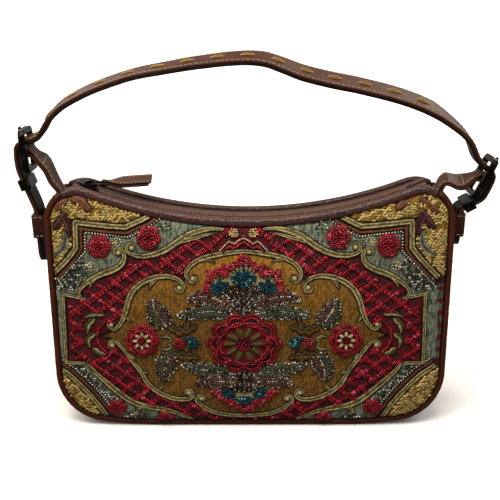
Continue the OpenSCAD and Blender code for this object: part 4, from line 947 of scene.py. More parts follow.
scrolls = [
    ([(-80.5, 134.8), (-83, 137), (-86, 135.2), (-86.3, 131.5), (-82.5, 128.7), (-75, 127.6), (-66, 129.2),
      (-58, 132.5), (-51, 137), (-45, 141), (-37, 144), (-28, 145.4), (-18, 145)],
     [1.6, 3.2, 4.8, 5.2, 4.6, 2.4]),
    ([(-53, 135.5), (-46, 137.8), (-38, 139.8), (-30, 142), (-23, 143.4)], [1.5, 3, 2.6, 1]),
    ([(-94.8, 128.6), (-95.5, 131.6), (-92.7, 133.6), (-89.5, 131.5), (-88.3, 127), (-90.5, 121.8),
      (-96.5, 118), (-104, 115.3), (-112, 111.3), (-118.5, 106.3), (-121.5, 101.5), (-119.5, 97.5),
      (-116.5, 97.5)], [1.6, 3, 4.6, 5, 4.4, 3, 2]),
    ([(-107, 114.5), (-111.5, 110), (-113.5, 105.5)], [2, 3.4, 1]),
    ([(-50.8, 107.3), (-52.8, 105.5), (-51.5, 102.8), (-48, 102.8), (-46.5, 106.5), (-49.5, 110.5),
      (-54.5, 112.8), (-60, 113.6), (-68, 112.4), (-76, 109), (-82, 104), (-86, 97), (-88, 90), (-90, 84),
      (-93, 78.5), (-97.2, 75.3), (-100.8, 77.3), (-101, 80.3), (-98.6, 81)],
     [1.4, 2.6, 3.6, 4.4, 4.8, 4.8, 4.2, 3, 1.6]),
    ([(-66, 111.5), (-70, 107.5), (-71.5, 103.5)], [2, 2.6, 0.8]),
    ([(-89, 86), (-86.5, 82.5), (-84, 80.5)], [1.6, 2.2, 0.8]),
    ([(-40.8, 113), (-39, 114.2), (-37.4, 111.8), (-40, 109.2), (-43.6, 111.2), (-44.6, 116), (-41.5, 121),
      (-35.5, 125), (-28, 127.4), (-18, 129.2), (-9, 130.3), (-4, 130.6)], [1.2, 2.4, 3.4, 4, 4.2, 3.6, 3]),
    ([(-36, 124.5), (-30, 125.2), (-25.5, 124), (-23.5, 122)], [2, 2.4, 0.8]),
    ([(-98.6, 61.4), (-100.9, 62.6), (-100.7, 65.8), (-97.3, 66.6), (-93, 63.2), (-89, 58), (-84, 51),
      (-79, 44), (-75, 36.5), (-70, 30.6), (-63, 26.2), (-56, 23.4), (-49.5, 22.4), (-43.5, 23.3),
      (-41.2, 26.8), (-43.4, 30), (-46.8, 29.3), (-47.2, 26.4)], [1.4, 2.6, 3.2, 3.4, 3.8, 4, 4, 3.4, 1.6]),
    ([(-88, 56.5), (-84.5, 55.5), (-82, 53)], [1.6, 2.4, 0.8]),
    ([(-78.5, 43), (-75.5, 43.5), (-73, 42)], [1.6, 2.4, 0.8]),
    ([(-67, 29.5), (-64.5, 31.5), (-63, 33.5)], [1.6, 2.4, 0.8]),
    ([(-4, 9.4), (-8, 9.5), (-16, 10), (-24, 11.5), (-31, 14.5), (-36, 18.5), (-39, 22), (-37.3, 25),
      (-33.6, 24.8), (-32.6, 22), (-34.6, 21)], [3, 3.4, 3.8, 3.6, 2.8, 1.4]),
    ([(-117, 50.5), (-114.5, 46), (-109, 40), (-103, 34.5), (-97, 29), (-89.5, 22.8), (-82, 18.6),
      (-74, 16.4), (-65, 14.8), (-57, 12.8), (-49, 9.4), (-41, 6.2)], [2.4, 4, 5, 5.2, 4.6, 3.6, 2.4]),
    ([(-74, 15), (-78.5, 16.6), (-82, 14.8), (-82, 11.6), (-79.2, 10.4), (-77.4, 12.2)], [2.6, 3, 2.4, 1.2]),
    ([(-133, 100), (-133, 75), (-133, 49)], [2.8, 2.8]),
    ([(-134, 49.5), (-127, 49.5), (-119, 49.5)], [2.6, 2.6]),
    ([(-134, 100), (-128, 99.3), (-121, 98)], [2.6, 2.6]),
    ([(-64, 69.5), (-59.5, 70.3), (-56, 68), (-58, 66.3)], [1, 2, 2, 1]),
    ([(-64, 61.5), (-59.5, 60.7), (-56, 63), (-58, 64.6)], [1, 2, 2, 1]),
]
for pts, widths in scrolls:
    band(pts, widths)
for spot in ((-92.5, 130), (-83, 133.3), (-40, 111.8), (-49.7, 105.2), (-98.8, 78.6), (-98.8, 63.4),
             (-44.4, 27.4), (-35, 23)):
    knob(*spot, 2.1)
for line in (topStripe, footStripe):
    band(line, [4.2, 4.2], rise=0.9, straight=True)
    band(beside(evenly(line, 2.0), 3.9), [1.7, 1.7], "maroon", "orange", "orange", 0.7, cord=None)
sageCurl = [(-130.5, 144), (-129.5, 138.5), (-132.5, 132), (-139, 127)]
band(sageCurl, [2, 6, 6.5, 3], "sageDark", "sage", "sageDark")
silvers = ["white", "white", "silver", "silver", "silverDark", "black"]
for pts, hw, fills in (
        ([(-12, 90), (-24, 97.5), (-36, 99), (-45, 96)], 6.4, ("leafPink", "leafPink", "umber")),
        ([(-12, 86.5), (-26, 88.5), (-40, 87), (-53, 85)], 6.2, ("leafGreen", "leafGreen", "umber")),
        ([(-10, 42), (-24, 44), (-36, 46), (-50, 49.5)], 6, ("leafGreen", "leafGreen", "umber")),
        ([(-10, 36), (-22, 36.5), (-32, 36), (-40, 33.5)], 6, ("leafPink", "leafPink", "umber")),
        ([(-59, 77), (-64, 84), (-68, 91), (-68.5, 98)], 8.6, ("leafGreen", "leafPink", "umber")),
        ([(-56, 57), (-60, 50), (-62, 43), (-61, 36)], 8.6, ("leafPink", "leafGreen", "umber"))):
    leaf(pts, hw, fills, silvers)
rust, khaki = ("leafRust", "orange", "maroon"), ("oliveLight", "olive", "oliveDark")
sprig = ("olive", "ochre", "oliveDark")
plum = ("mauve", "leafPink", "outline")
cornerLeaves = [([(-125, 168), (-119, 165.5), (-111, 158.5)], 4.6, rust),
                ([(-141, 157), (-133, 163), (-127, 167.5)], 3.8, rust),
                ([(-129, 158), (-133, 151), (-139.5, 146)], 4.8, plum),
                ([(-130.5, 154.5), (-127.5, 149), (-126.8, 141.5)], 4.0, plum)]
for pts, hw, fills in cornerLeaves + [
        ([(-58, 77.5), (-49, 74), (-36, 78)], 4.2, sprig), ([(-47, 75), (-44, 80), (-43, 84)], 2.6, sprig),
        ([(-57, 56), (-47, 56), (-35, 54)], 4.2, sprig), ([(-46, 55), (-44, 50.5), (-42, 47)], 2.6, sprig),
        ([(-103.5, 86), (-110.5, 86.8), (-118, 84)], 3, khaki),
        ([(-111, 83), (-116, 78), (-116.5, 71)], 3, khaki),
        ([(-111, 72), (-116.5, 67.5), (-115, 60.5)], 2.8, khaki),
        ([(-113, 61), (-108.5, 57.5), (-103, 56)], 3, khaki)]:
    leaf(pts, hw, fills, scallop=0.55 if fills == sprig else 0.28, rise=0.9)
rosette(-4, 65, 22.5, 10, 0.26, 0.56, 10, "olive", both=False, rise=3.0, wide=1.2)
rosette(-77, 67, 12, 8, 0.28, 0.55, 8, "cream", rise=2.2)
for x, z, r in smallRosettes:
    rosette(x, z, r, 6, 0.2, 0.4, 6, "redBright", rise=1.5)
for shape, rim in ((fanTop, fanTop[3:]), (fanFoot, fanFoot[:-2])):
    # about one bead in four along the fans' rims is glint, a painted highlight
    fill(shape, ["red", "redBright", "redBright", "glint"], 1.8, 0.85, 0.2, 2.4, rim, 3.6)
for pts in (fanTop[3:], fanFoot[:-2], [(-104, 80), (-108.5, 75), (-109.5, 68), (-107, 62), (-103, 58)],
            [(-18, 130.8), (-14, 134), (-10.5, 132.5), (-7.5, 135), (-4, 136.5)]):
    row(pts, reds, 1.7, 0.95, 0.5, 2.6)
for pts in ([(-22, 112), (-23.5, 114), (-25.5, 115)], [(-19.5, 111), (-19.5, 113.5), (-20.5, 115.5)],
            [(-25.5, 108), (-27, 110), (-29, 110.5)], [(-6, 117), (-6, 119.5), (-5.3, 122.5)],
            [(-10, 115.5), (-11.5, 117.5), (-14, 118.5)], [(-8, 116.5), (-8.8, 119), (-10.5, 121)]):
    leaf(pts, 1.6, ("cream", "cream", "gold"), scallop=0, rise=0.9)
teals = ["teal"] * 4 + ["tealDark"] * 5 + ["tealLight"]
for shape in tealFields:
    fill(shape, teals, 1.7, 0.92, lift=0.3)
fill(lobed(-50.5, 65, 4.2, 5), reds, 1.7, 0.8, lift=0.5, length=2.2)
for shape in (plumeTop, plumeFoot):
    fill(shape, ["silver", "silverDark", "silverDark", "leafPink", "umber", "umber", "black", "ochreDark"],
         1.8, 0.7, -0.3)
for pts in ([(-4, 87), (-9, 93), (-16, 100), (-21, 104)], [(-4, 90.5), (-10, 97.5), (-14, 103.5)],
            [(-4, 94.5), (-8, 100), (-9.5, 105)], [(-7, 88), (-13, 94), (-19, 99)],
            [(-4, 50.5), (-8, 45), (-13, 39), (-18, 33)], [(-4, 46.5), (-8, 41), (-12, 35), (-14.5, 31.5)],
            [(-4, 42), (-6.5, 37), (-8, 31)]):
    row(pts, ["white", "silver", "silverDark", "black"], 1.5, 0.66, 0.6)
for pts in ([(-4, 86), (-4, 104)], [(-4, 52), (-4, 27)]):
    row(pts, ["silver", "silverDark"], both=False)
row([(-20.5, 131.5), (-17, 135), (-14, 137.5), (-10.5, 135.6), (-7.5, 138), (-4, 139.5)],
    ["cream", "oliveLight", "white"])
for line in (topBeads, footBeads):
    row(line, ["white", "white", "cream"], 2.1, 0.68)
for x, z in ((-93.5, 137.5), (-112, 120.5)):
    row(lobed(x, z, 2.9, 5, 0)[::5], ["white", "cream"], 2.0, 0.7)
    fill(lobed(x, z, 1.6, 5, 0), ["gold", "cream"], 1.5, 0.7)
fill(lobed(-11, 142.3, 3.1, 6), ["cream", "gold"], 1.5, 0.8)
mixed = ["white", "silver", "silverDark", "black", "black"]
for shape in ([(-139, 110), (-131, 115), (-124, 122.5), (-117.5, 127), (-114, 119), (-119, 111),
               (-124, 104), (-139, 102)],
              [(-133, 46.5), (-121, 47.5), (-112, 38), (-104, 30), (-97, 24), (-90.5, 12), (-98, 14),
               (-105, 24), (-112, 32.5), (-120, 40.5), (-128, 47)],
              [(-66, 148), (-61, 151.5), (-55, 149.5), (-55, 145.5), (-61, 144.5)],
              [(-93, 8), (-84, 12.5), (-73, 8.5), (-84, 6.5)]):
    fill(shape, mixed, 2.0, 0.74, lift=-0.4)

# Trellis: rows of long beads three abreast one way, single rows of beads laid across the other
slant, rowGap, margin = math.radians(work["slant"]), work["rowGap"], work["margin"]
for pitch, step, rise, offs, lift in (
        (work["alongPitch"], work["alongStep"], slant, (-rowGap, 0, rowGap), 0.15),
        (work["acrossPitch"], work["acrossStep"], -slant, (0.0,), 0.35)):
    d, n = np.array([math.cos(rise), math.sin(rise)]), np.array([-math.sin(rise), math.cos(rise)])
    for k in np.arange(-30, 31) * pitch:
        for off in offs:
            spot = np.array(work["trellisFrom"]) + (k + off) * n + np.arange(-90, 90)[:, None] * step * d
            x, z = spot[:, 0], spot[:, 1]
            ok = (x < axisX - 0.4) & inside(redField, x, z) & ~inside(goldField, x, z)
            ok &= (distance(redField, x, z) > margin) & (distance(goldField, x, z) > margin)
            spray = (x < -102) & (np.abs(z - 71) < 16.5) & (x > -119.5)
            crest = (x > -21.5) & (z > 129.5) & (z < 140)
            ok &= ~spray & ~crest
            x, z = x[ok], z[ok]
            for flip in (False, True):
                bead(bugles, 2 * axisX - x if flip else x, z, work["bugleR"], picks(reds, len(x)), lift,
                     -slant if flip else slant, work["bugleL"], 0.25)

# Couched gold: short knobbly stitches laid brick fashion over the corners, clear of their leaves
pitchX, pitchZ = work["knotPitch"]
kx, kz = np.meshgrid(np.arange(-154, -58, pitchX), np.arange(6, 172, pitchZ))
kx = kx + (np.arange(len(kx)) % 2)[:, None] * pitchX / 2
kx, kz = kx.ravel() + chance.normal(0, 0.25, kx.size), kz.ravel() + chance.normal(0, 0.2, kx.size)
held = inside(topCorner, kx, kz) | inside(footCorner, kx, kz)
held &= (distance(topStripe, kx, kz) > 3.2) & (distance(footStripe, kx, kz) > 3.2)
for pts, hw in [leafOf[:2] for leafOf in cornerLeaves] + [(sageCurl, 3.2)]:
    held &= distance(pts, kx, kz) > 0.6 * hw
kx, kz = kx[held], kz[held]
for x in (kx, 2 * axisX - kx):
    bead(knots, x, kz, 0.95, picks(["gold", "gold", "gold", "goldDark"], len(x)), 0.0,
         chance.normal(0.35, 0.6, len(x)), 2.8, 0.2)

workPieces = [
    floss.piece("satin_embroidery", satin), outlines.piece("outline_cords", cordThread),
    glass.piece("seed_beads", glassBead), bugles.piece("bugle_beads", glassBead),
    knots.piece("couched_gold", satin)]
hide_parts("scrolls", "leaves", "rosettes")
print("embroidery and beads")


# Leather work
hide, hideDark, bindingCrownHighlight = linear(bag["hide"]), linear(bag["hideDark"]), linear(bag["bindingCrownHighlight"])
seams = {"thread": "#94826a", "darkThread": "#3c2117", "pitch": 3.6, "length": 2.5, "r": 0.36, "lift": 0.18}
sewn = Pile()


def strip(pile, path, wide, half, low, high, tint, edge, groove=0.8, dome=0.15):
    # a leather strap with rounded edges and a pressed stitching line near each, swept along the path
    lip, pressed = 0.06, 0.2
    right = np.array([0.17, 0.45, groove - lip, groove, groove + lip, 0.95, 0.985, 1])
    drop = (high - low) / 2 * np.array([0, 0, 0, 0, 0, 0.04, 0.2, 0.62])
    c, ease = np.concatenate([-right[::-1], right]), np.concatenate([drop[::-1], drop])
    n, m = len(path), len(c)
    half = np.broadcast_to(half, n)
    wide = np.broadcast_to(np.asarray(wide, float), (n, 3))
    normal = unit(np.cross(tangents(path), wide))
    top = high - ease + dome * (1 - c ** 2) - pressed * (np.abs(np.abs(c) - groove) < 0.01)
    under = low + ease
    across = wide[:, None] * (half[:, None] * c)[..., None]
    upper = path[:, None] + across + normal[:, None] * top[None, :, None]
    lower = path[:, None] + across + normal[:, None] * under[None, :, None]
    verts = np.concatenate([upper, lower[:, ::-1]], 1)
    q = np.arange(m - 1)
    cap = np.stack([q, q + 1, 2 * m - 2 - q, 2 * m - 1 - q], -1)
    share = np.concatenate([np.abs(c) > 0.96, np.ones(m) * 0.5])[None, :, None] * np.ones((n, 1, 1))
    flat = np.stack(np.broadcast_arrays(runOf(path)[:, None],
                                        np.concatenate([c, c[::-1]])[None] * half[:, None]), -1)
    pile.add(verts, [ringFaces(n, 2 * m), cap, (cap + (n - 1) * 2 * m)[:, ::-1]],
             (tint * (1 - share) + edge * share).reshape(-1, 3), flat)
    return upper[:, [4, 11]], normal


def stitch(line, normal, tint=None, pitch=None, length=None, r=None, pile=sewn):
    pitch, length, r = pitch or seams["pitch"], length or seams["length"], r or seams["r"]
    run = runOf(line)
    at = np.arange(pitch / 2, run[-1] - pitch / 3, pitch)
    up, d = unit(pointsAt(at, run, normal)), unit(pointsAt(at, run, tangents(line)))
    scatter(pile, longBead, longFaces, pointsAt(at, run, line) + up * seams["lift"], d * length / 2,
            np.cross(up, d) * r, up * r, linear(seams["thread"]) if tint is None else tint, 0.08)


def tilted(angle):
    # a strap's width, with its front edge lowered so that its face turns to the front
    return np.stack([np.zeros_like(angle), cosD(angle), sinD(angle)], -1)


def inXZ(p, y=0.0):
    return np.stack([p[:, 0], np.broadcast_to(y, len(p)), p[:, 1]], -1)


# Back panel, a little slack
backForm = {"columns": 90, "rows": 96, "slack": 0.35, "waveX": 0.06, "waveZ": 0.08}
back = Pile()
backGrid = panelGrid(backForm["columns"], backForm["rows"]) * [1, -1, 1]
bn, bm = backGrid.shape[:2]
ripple = (backForm["slack"] * np.sin(backGrid[..., :1] * backForm["waveX"] + 1.3)
          * np.sin(backGrid[..., 2:] * backForm["waveZ"]))
back.add(backGrid + np.array([0, 1, 0]) * ripple, [gridFaces(bn, bm, True)], linear(bag["backHide"]))
backPiece = back.piece("back_leather", calf)
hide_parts("back_panel")

# Gusset, from one chape round the base to the other
gussetForm = {"short": 5.47, "inset": 2.6, "step": 2.5, "groove": 0.86, "dome": 0.1, "sewnFrom": 4,
              "threadR": 0.3}
gusset = Pile()
line = lowerEdge(0, bag["chapeAt"] - gussetForm["short"], gussetForm["step"])
rows, up = strip(gusset, inXZ(line), (0, -1, 0), halfDepth(line[:, 1]) - gussetForm["inset"],
                 -bag["gussetT"], 0.0, hide, hideDark, gussetForm["groove"], gussetForm["dome"])
for k in (0, 1):
    for part in spans(line[:, 1] > gussetForm["sewnFrom"]):
        stitch(rows[part, k], up[part], linear(seams["darkThread"]), r=gussetForm["threadR"])
gussetPiece = gusset.piece("gusset_leather", calf)
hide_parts("gusset")

# Piping round each panel, and the bindings folded over their top edges
pipingForm = {"end": 149, "step": 2.0, "sides": 14}
bindingForm = {"end": 151.4, "step": 0.7, "half": 2.8, "slot": 1.4, "slotTop": -2.2, "fold": 0.2, "slow": 0.1}
for name, side in (("front", -1), ("back", 1)):
    made = Pile()
    line = lowerEdge(bag["pipingR"], pipingForm["end"], pipingForm["step"])
    core = inXZ(line, side * halfDepth(line[:, 1]))
    run = runOf(core)
    swell = bag["pipingR"] * (1 + 0.018 * np.sin(run * 0.8) + 0.014 * np.sin(run * 0.31 + 1))
    tube(made, core, np.broadcast_to([0.0, side, 0.0], core.shape), swell, linear(bag["piping"]),
         pipingForm["sides"])
    piece = made.piece(f"{name}_piping_leather", calf)
    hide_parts(f"{name}_piping")

    made = Pile()
    line = upperEdge(0, bindingForm["end"], bindingForm["step"])
    run = runOf(line)
    bh, slotH, slotTop = bindingForm["half"], bindingForm["slot"], bindingForm["slotTop"]
    bottom = -bag["bindingH"]
    # height and depth of one side, from its lower edge to the crown
    leg = [(bottom, bh - 0.3), (bottom + 0.3, bh), (bottom + 1.2, bh + 0.12), (-3.3, bh + 0.18),
           (-2.3, bh + 0.05), (-1.4, bh * 0.93), (-0.55, bh * 0.68), (-0.1, bh * 0.36)]
    inner = [(bottom, -slotH), (slotTop, -slotH), (slotTop, slotH), (bottom, slotH)]
    q = np.array(leg + [(h, -d) for h, d in leg[::-1]] + inner)
    slantRun = run[:, None] + 0.9 * q[None, :, 0]
    folds = (bindingForm["fold"] * np.sin(slantRun * 2.3 + 1.1 * np.sin(run * 0.19)[:, None])
             + bindingForm["slow"] * np.sin(slantRun * 0.53 + 2))
    outward = np.where(np.abs(q[:, 1]) > bh * 0.9, np.sign(q[:, 1]), 0)
    puff = outward * np.clip((q[:, 0] - bottom + 0.3) / 2, 0, 1)
    t = tangents(line)
    upward = np.stack([-t[:, 1], t[:, 0]], -1)
    spot = line[:, None] + upward[:, None] * q[None, :, :1]
    across = q[None, :, 1] + folds * puff[None]
    verts = np.stack([spot[..., 0], side * halfDepth(spot[..., 1]) + across, spot[..., 1]], -1)
    n, m = len(line), len(q)
    caps = np.array([np.arange(m)[::-1], (n - 1) * m + np.arange(m)])
    # the crown of each binding is coloured paler than its sides, a painted highlight
    crest = np.array([max(0, 1 - abs(v[1]) / bh) for v in q])[None, :, None] * np.ones((n, 1, 1))
    made.add(verts, [ringFaces(n, m, True), caps],
             (linear(bag["binding"]) * (1 - crest) + bindingCrownHighlight * crest).reshape(-1, 3),
             np.stack(np.broadcast_arrays(run[:, None], np.arange(m)[None] * 1.0), -1))
    piece = made.piece(f"{name}_binding_leather", pebbled)
    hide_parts(f"{name}_binding")
print("body leather")

# Zip tapes and end tabs
# dull and rim are the shares of the tape colour kept where shade is painted: dull under the binding, rim
# along the edges
zipForm = {"half": 21.2, "sliderL": 13, "stopL": 2.4, "stopGap": 0.5, "edge": 1.9, "inset": 3.0, "ply": 0.4,
           "tone": "#4a2618", "groove": 0.7, "dull": 0.12, "rim": 0.1}
endTab = {"r": 19.5, "from": 60.5, "to": 77.5, "ply": 1.0, "groove": 0.8}
tapeTone = linear(zipForm["tone"])
zipEnd = zipForm["half"] + 2 * math.degrees(
    (zipForm["sliderL"] / 2 + zipForm["stopGap"] + zipForm["stopL"] / 2) / zipR) - 1
for name, side in (("front", -1), ("back", 1)):
    made = Pile()
    arc = onArc(dipC, zipR, np.linspace(-zipEnd, zipEnd, 160))
    inner, outer = zipForm["edge"], halfDepth(arc[:, 1]) - zipForm["inset"]
    shaded = np.tile(tapeTone, (1, 32, 1))  # painted shadow under the binding, from the sewn line outwards
    for k in range(10, 16) if side > 0 else range(6):
        shaded[:, [k, 31 - k]] *= zipForm["dull"]
    # both edges of each tape are near black too, painted shade beside the binding and the teeth
    strip(made, inXZ(arc, side * (inner + outer) / 2), (0, 1, 0), (outer - inner) / 2, -zipForm["ply"],
          zipForm["ply"], shaded, tapeTone * zipForm["rim"], zipForm["groove"], 0)
    piece = made.piece(f"{name}_zip_cloth", tapeCloth)
    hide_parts(f"{name}_zip_tape")
made = Pile()
for way in (-1, 1):
    arc = onArc(topC, endTab["r"], np.linspace(endTab["from"], endTab["to"], 14) + 90) * [way, 1]
    if way > 0:
        arc = arc[::-1]
    strip(made, inXZ(arc), (0, 1, 0), halfDepth(arc[:, 1]) - zipForm["inset"], -endTab["ply"], endTab["ply"],
          hide, hideDark, endTab["groove"], 0)
piece = made.piece("zip_end_leather", calf)
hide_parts("zip_end_tabs")

# Lining, hung a little slack inside the panels and round the sides
lined = {"floor": 5.2, "top": 150.5, "underZip": 3.6, "off": 3.5, "side": 2.6, "slack": 0.3,
         "waveX": 0.11, "waveZ": 0.09, "tone": "#2c150c", "columns": 61, "rows": 25, "across": 9}
edge = lowerEdge(lined["side"], sideEnd, 2.0)
edge = edge[(edge[:, 0] > 0) & (edge[:, 1] > lined["floor"])]
t = np.linspace(0, 1, lined["rows"])
level = lined["floor"] + (lined["top"] - lined["floor"]) * t
x = np.linspace(-1, 1, lined["columns"])[:, None] * np.interp(level, edge[:, 1], edge[:, 0])[None]
crest = np.minimum(lined["top"], dipC[1] - np.sqrt(zipR ** 2 - x ** 2) - lined["underZip"])
z = lined["floor"] + (crest - lined["floor"]) * t
for name, side in (("front", -1), ("back", 1)):
    made = Pile()
    ripple = np.sin(lined["waveX"] * x) * np.sin(lined["waveZ"] * z)
    wall = halfDepth(z) - lined["off"] - lined["slack"] * (1 + ripple)
    grid = np.stack([x, side * wall, z], -1)
    made.add(grid, [gridFaces(*x.shape, side > 0)], linear(lined["tone"]), np.stack([x, z], -1))
    piece = made.piece(f"{name}_lining_cloth", tapeCloth)
    if side < 0:
        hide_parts("lining")
path = evenly(np.concatenate([np.stack([x[0], z[0]], -1)[::-1], np.stack([x[-1], z[-1]], -1)]), 4.0)
wall = halfDepth(path[:, 1])[:, None] - lined["off"] - lined["slack"]
wall = wall * np.linspace(-1, 1, lined["across"])[None]
grid = np.stack(np.broadcast_arrays(path[:, :1], wall, path[:, 1:]), -1)
made = Pile()
made.add(grid, [gridFaces(len(path), lined["across"])], linear(lined["tone"]), grid[..., [1, 2]])
piece = made.piece("side_lining_cloth", tapeCloth)
print("zip cloth and lining")

# Strap: the CAD model's route, raised a little on the right, and rolled to the front where it hangs free.
# Two hides are sewn together and laced along the middle.
strapForm = {
    "half": 10, "t": 4, "rise": 86, "top": "#46291c", "edge": "#3c1e0f", "under": "#241109", "frameEnd": 13.5,
    "over": 6.4, "wrapR": 6.3, "keeperHalf": 3.2, "tipHalf": 2, "upperFrom": -0.15, "underTo": -0.25,
    "stiff": 80, "ease": 45, "roll": (10, 16, 21), "rollAt": (-80, 0, 30), "lay": (0, 1.8, 2.2, 3),
    "layAt": (-30, 25, 85, 130),
}
laceForm = {"pitch": 21, "length": 10.5, "count": 16, "shift": -6, "clear": 112, "r": 0.5, "thin": 0.08,
            "lift": 1.95, "arch": 0.75, "apart": 0.2, "bow": 1.35, "points": 13, "sides": 7,
            "tone": "#8a6a38"}
loopForm = {"z": 145, "half": 8.5, "room": 2, "ply": 0.9, "deep": 11.4, "foot": 15.6, "stitch": 3.2,
            "stitchL": 2.1, "reach": 4.5, "groove": 0.8, "dome": 0.05}
ends = {
    "left": {"bar": (158, 199), "tilt": 5.5, "gap": 4.5, "tail": 19, "keeper": 0.68,
             "bends": [(0.25, 0.28), (0.58, 1)]},
    "right": {"bar": (166.5, 178.5), "tilt": 28, "gap": 2.5, "tail": 8, "keeper": 0.42,
              "bends": [(0.16, 1.28), (0.35, 0.39), (0.53, -0.17), (0.77, 0.19)]},
}
sideFoot = onArc(topC, bag["topR"], sideEnd)


def sideX(z):
    return sideFoot[0] - (sideFoot[1] - z) * math.tan(math.radians(bag["lean"]))


def atBar(e, along, out):
    a = math.radians(e["tilt"])
    way, outward = np.array([math.sin(a), math.cos(a)]), np.array([math.cos(a), -math.sin(a)])
    return np.array(e["bar"]) + along * way + out * outward


def sidePoint(e, w):
    z = loopForm["z"] + w * cosD(bag["lean"])
    out = e["gap"] + strapForm["t"] / 2
    return np.array([sideX(z), z]) + out * np.array([cosD(bag["lean"]), -sinD(bag["lean"])])


def strapEnd(e):
    # up the side through the loop and keeper, over the buckle's frame and round its bar
    reach, over, wrapR = strapForm["frameEnd"], strapForm["over"], strapForm["wrapR"]
    tailTop, frameEnd = sidePoint(e, loopForm["half"] + loopForm["room"]), atBar(e, -reach, over)
    mid = tailTop + (frameEnd - tailTop) * e["keeper"]
    held = strapForm["keeperHalf"] * unit(frameEnd - tailTop)
    wrap = [atBar(e, wrapR * sinD(a), wrapR * cosD(a)) for a in (-10, 38, 84)]
    return [sidePoint(e, -loopForm["half"] - e["tail"]), sidePoint(e, 0), tailTop, mid - held, mid + held,
            frameEnd, atBar(e, -reach / 2, over + 4 / 13), *wrap, atBar(e, 7.3, -5), atBar(e, 9.7, -11)]


# shares of half the bag's width and of the strap's rise
crown = [(-0.96, 0.54), (-0.9, 0.64), (-0.8, 0.735), (-0.7, 0.805), (-0.55, 0.885), (-0.41, 0.93),
         (-0.22, 0.98), (-0.04, 1), (0.07, 0.985), (0.15, 0.938), (0.25, 0.872), (0.39, 0.81), (0.53, 0.76),
         (0.72, 0.672), (0.86, 0.577), (0.98, 0.456), (1.06, 0.34)]
crown = np.array(crown) * [bag["halfW"], strapForm["rise"]] + [0, bag["height"]]
leftEnd = np.array(strapEnd(ends["left"])) * [-1, 1]
rightEnd = np.array(strapEnd(ends["right"]))[::-1]
strapLine = evenly(smoothLine(np.concatenate([leftEnd, crown, rightEnd]), 2.0), 1.6)
strapRun = runOf(strapLine)
fromEnd = np.minimum(strapRun, strapRun[-1] - strapRun)
tipR = strapForm["half"]
tip = np.sqrt(np.maximum(tipR ** 2 - (tipR - fromEnd) ** 2, strapForm["tipHalf"] ** 2))
strapHalf = np.where(fromEnd < tipR, tip, tipR)
free = np.clip((fromEnd - strapForm["stiff"]) / strapForm["ease"], 0, 1)
lay = free * np.interp(strapLine[:, 0], strapForm["layAt"], strapForm["lay"])
strapPath = inXZ(beside(strapLine, lay))
strapWide = tilted(free * np.interp(strapLine[:, 0], strapForm["rollAt"], strapForm["roll"]))
topHide, edgeHide = linear(strapForm["top"]), linear(strapForm["edge"])
thickHalf = strapForm["t"] / 2
upperHide, lowerHide = Pile(), Pile()
rows, strapUp = strip(upperHide, strapPath, strapWide, strapHalf, strapForm["upperFrom"], thickHalf,
                      topHide, edgeHide)
strip(lowerHide, strapPath, strapWide, strapHalf, -thickHalf, strapForm["underTo"],
      linear(strapForm["under"]), hideDark)
for k in (0, 1):
    stitch(rows[:, k], strapUp)
upperPiece = upperHide.piece("strap_top_hide", calf)
lowerPiece = lowerHide.piece("strap_under_hide", calf)
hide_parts("strap_upper")
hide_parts("strap_backing")

# Lacing: pairs of gold strands that bow apart, left out near the buckles
laces = Pile()
crownRun = np.interp(0, strapLine[60:-60, 0], strapRun[60:-60])
arch = np.sin(np.linspace(0, math.pi, laceForm["points"]))
laceLift = laceForm["lift"] + laceForm["arch"] * arch ** 0.6
laceOff = laceForm["apart"] + laceForm["bow"] * arch
laceR = laceForm["r"] - laceForm["thin"] * (1 - arch)
for i in range(laceForm["count"]):
    start = crownRun + (i - laceForm["count"] / 2) * laceForm["pitch"] + laceForm["shift"]
    at = start + np.linspace(0, laceForm["length"], laceForm["points"])
    if np.interp(at, strapRun, fromEnd).min() < laceForm["clear"]:
        continue
    base = pointsAt(at, strapRun, strapPath)
    n, across = (unit(pointsAt(at, strapRun, v)) for v in (strapUp, strapWide))
    for way in (-1, 1):
        spot = base + n * laceLift[:, None] + across * (way * laceOff)[:, None]
        tube(laces, spot, n, laceR, linear(laceForm["tone"]), laceForm["sides"])
lacePiece = laces.piece("gold_lacing", cordThread)
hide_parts("strap_lacing")
print("strap")

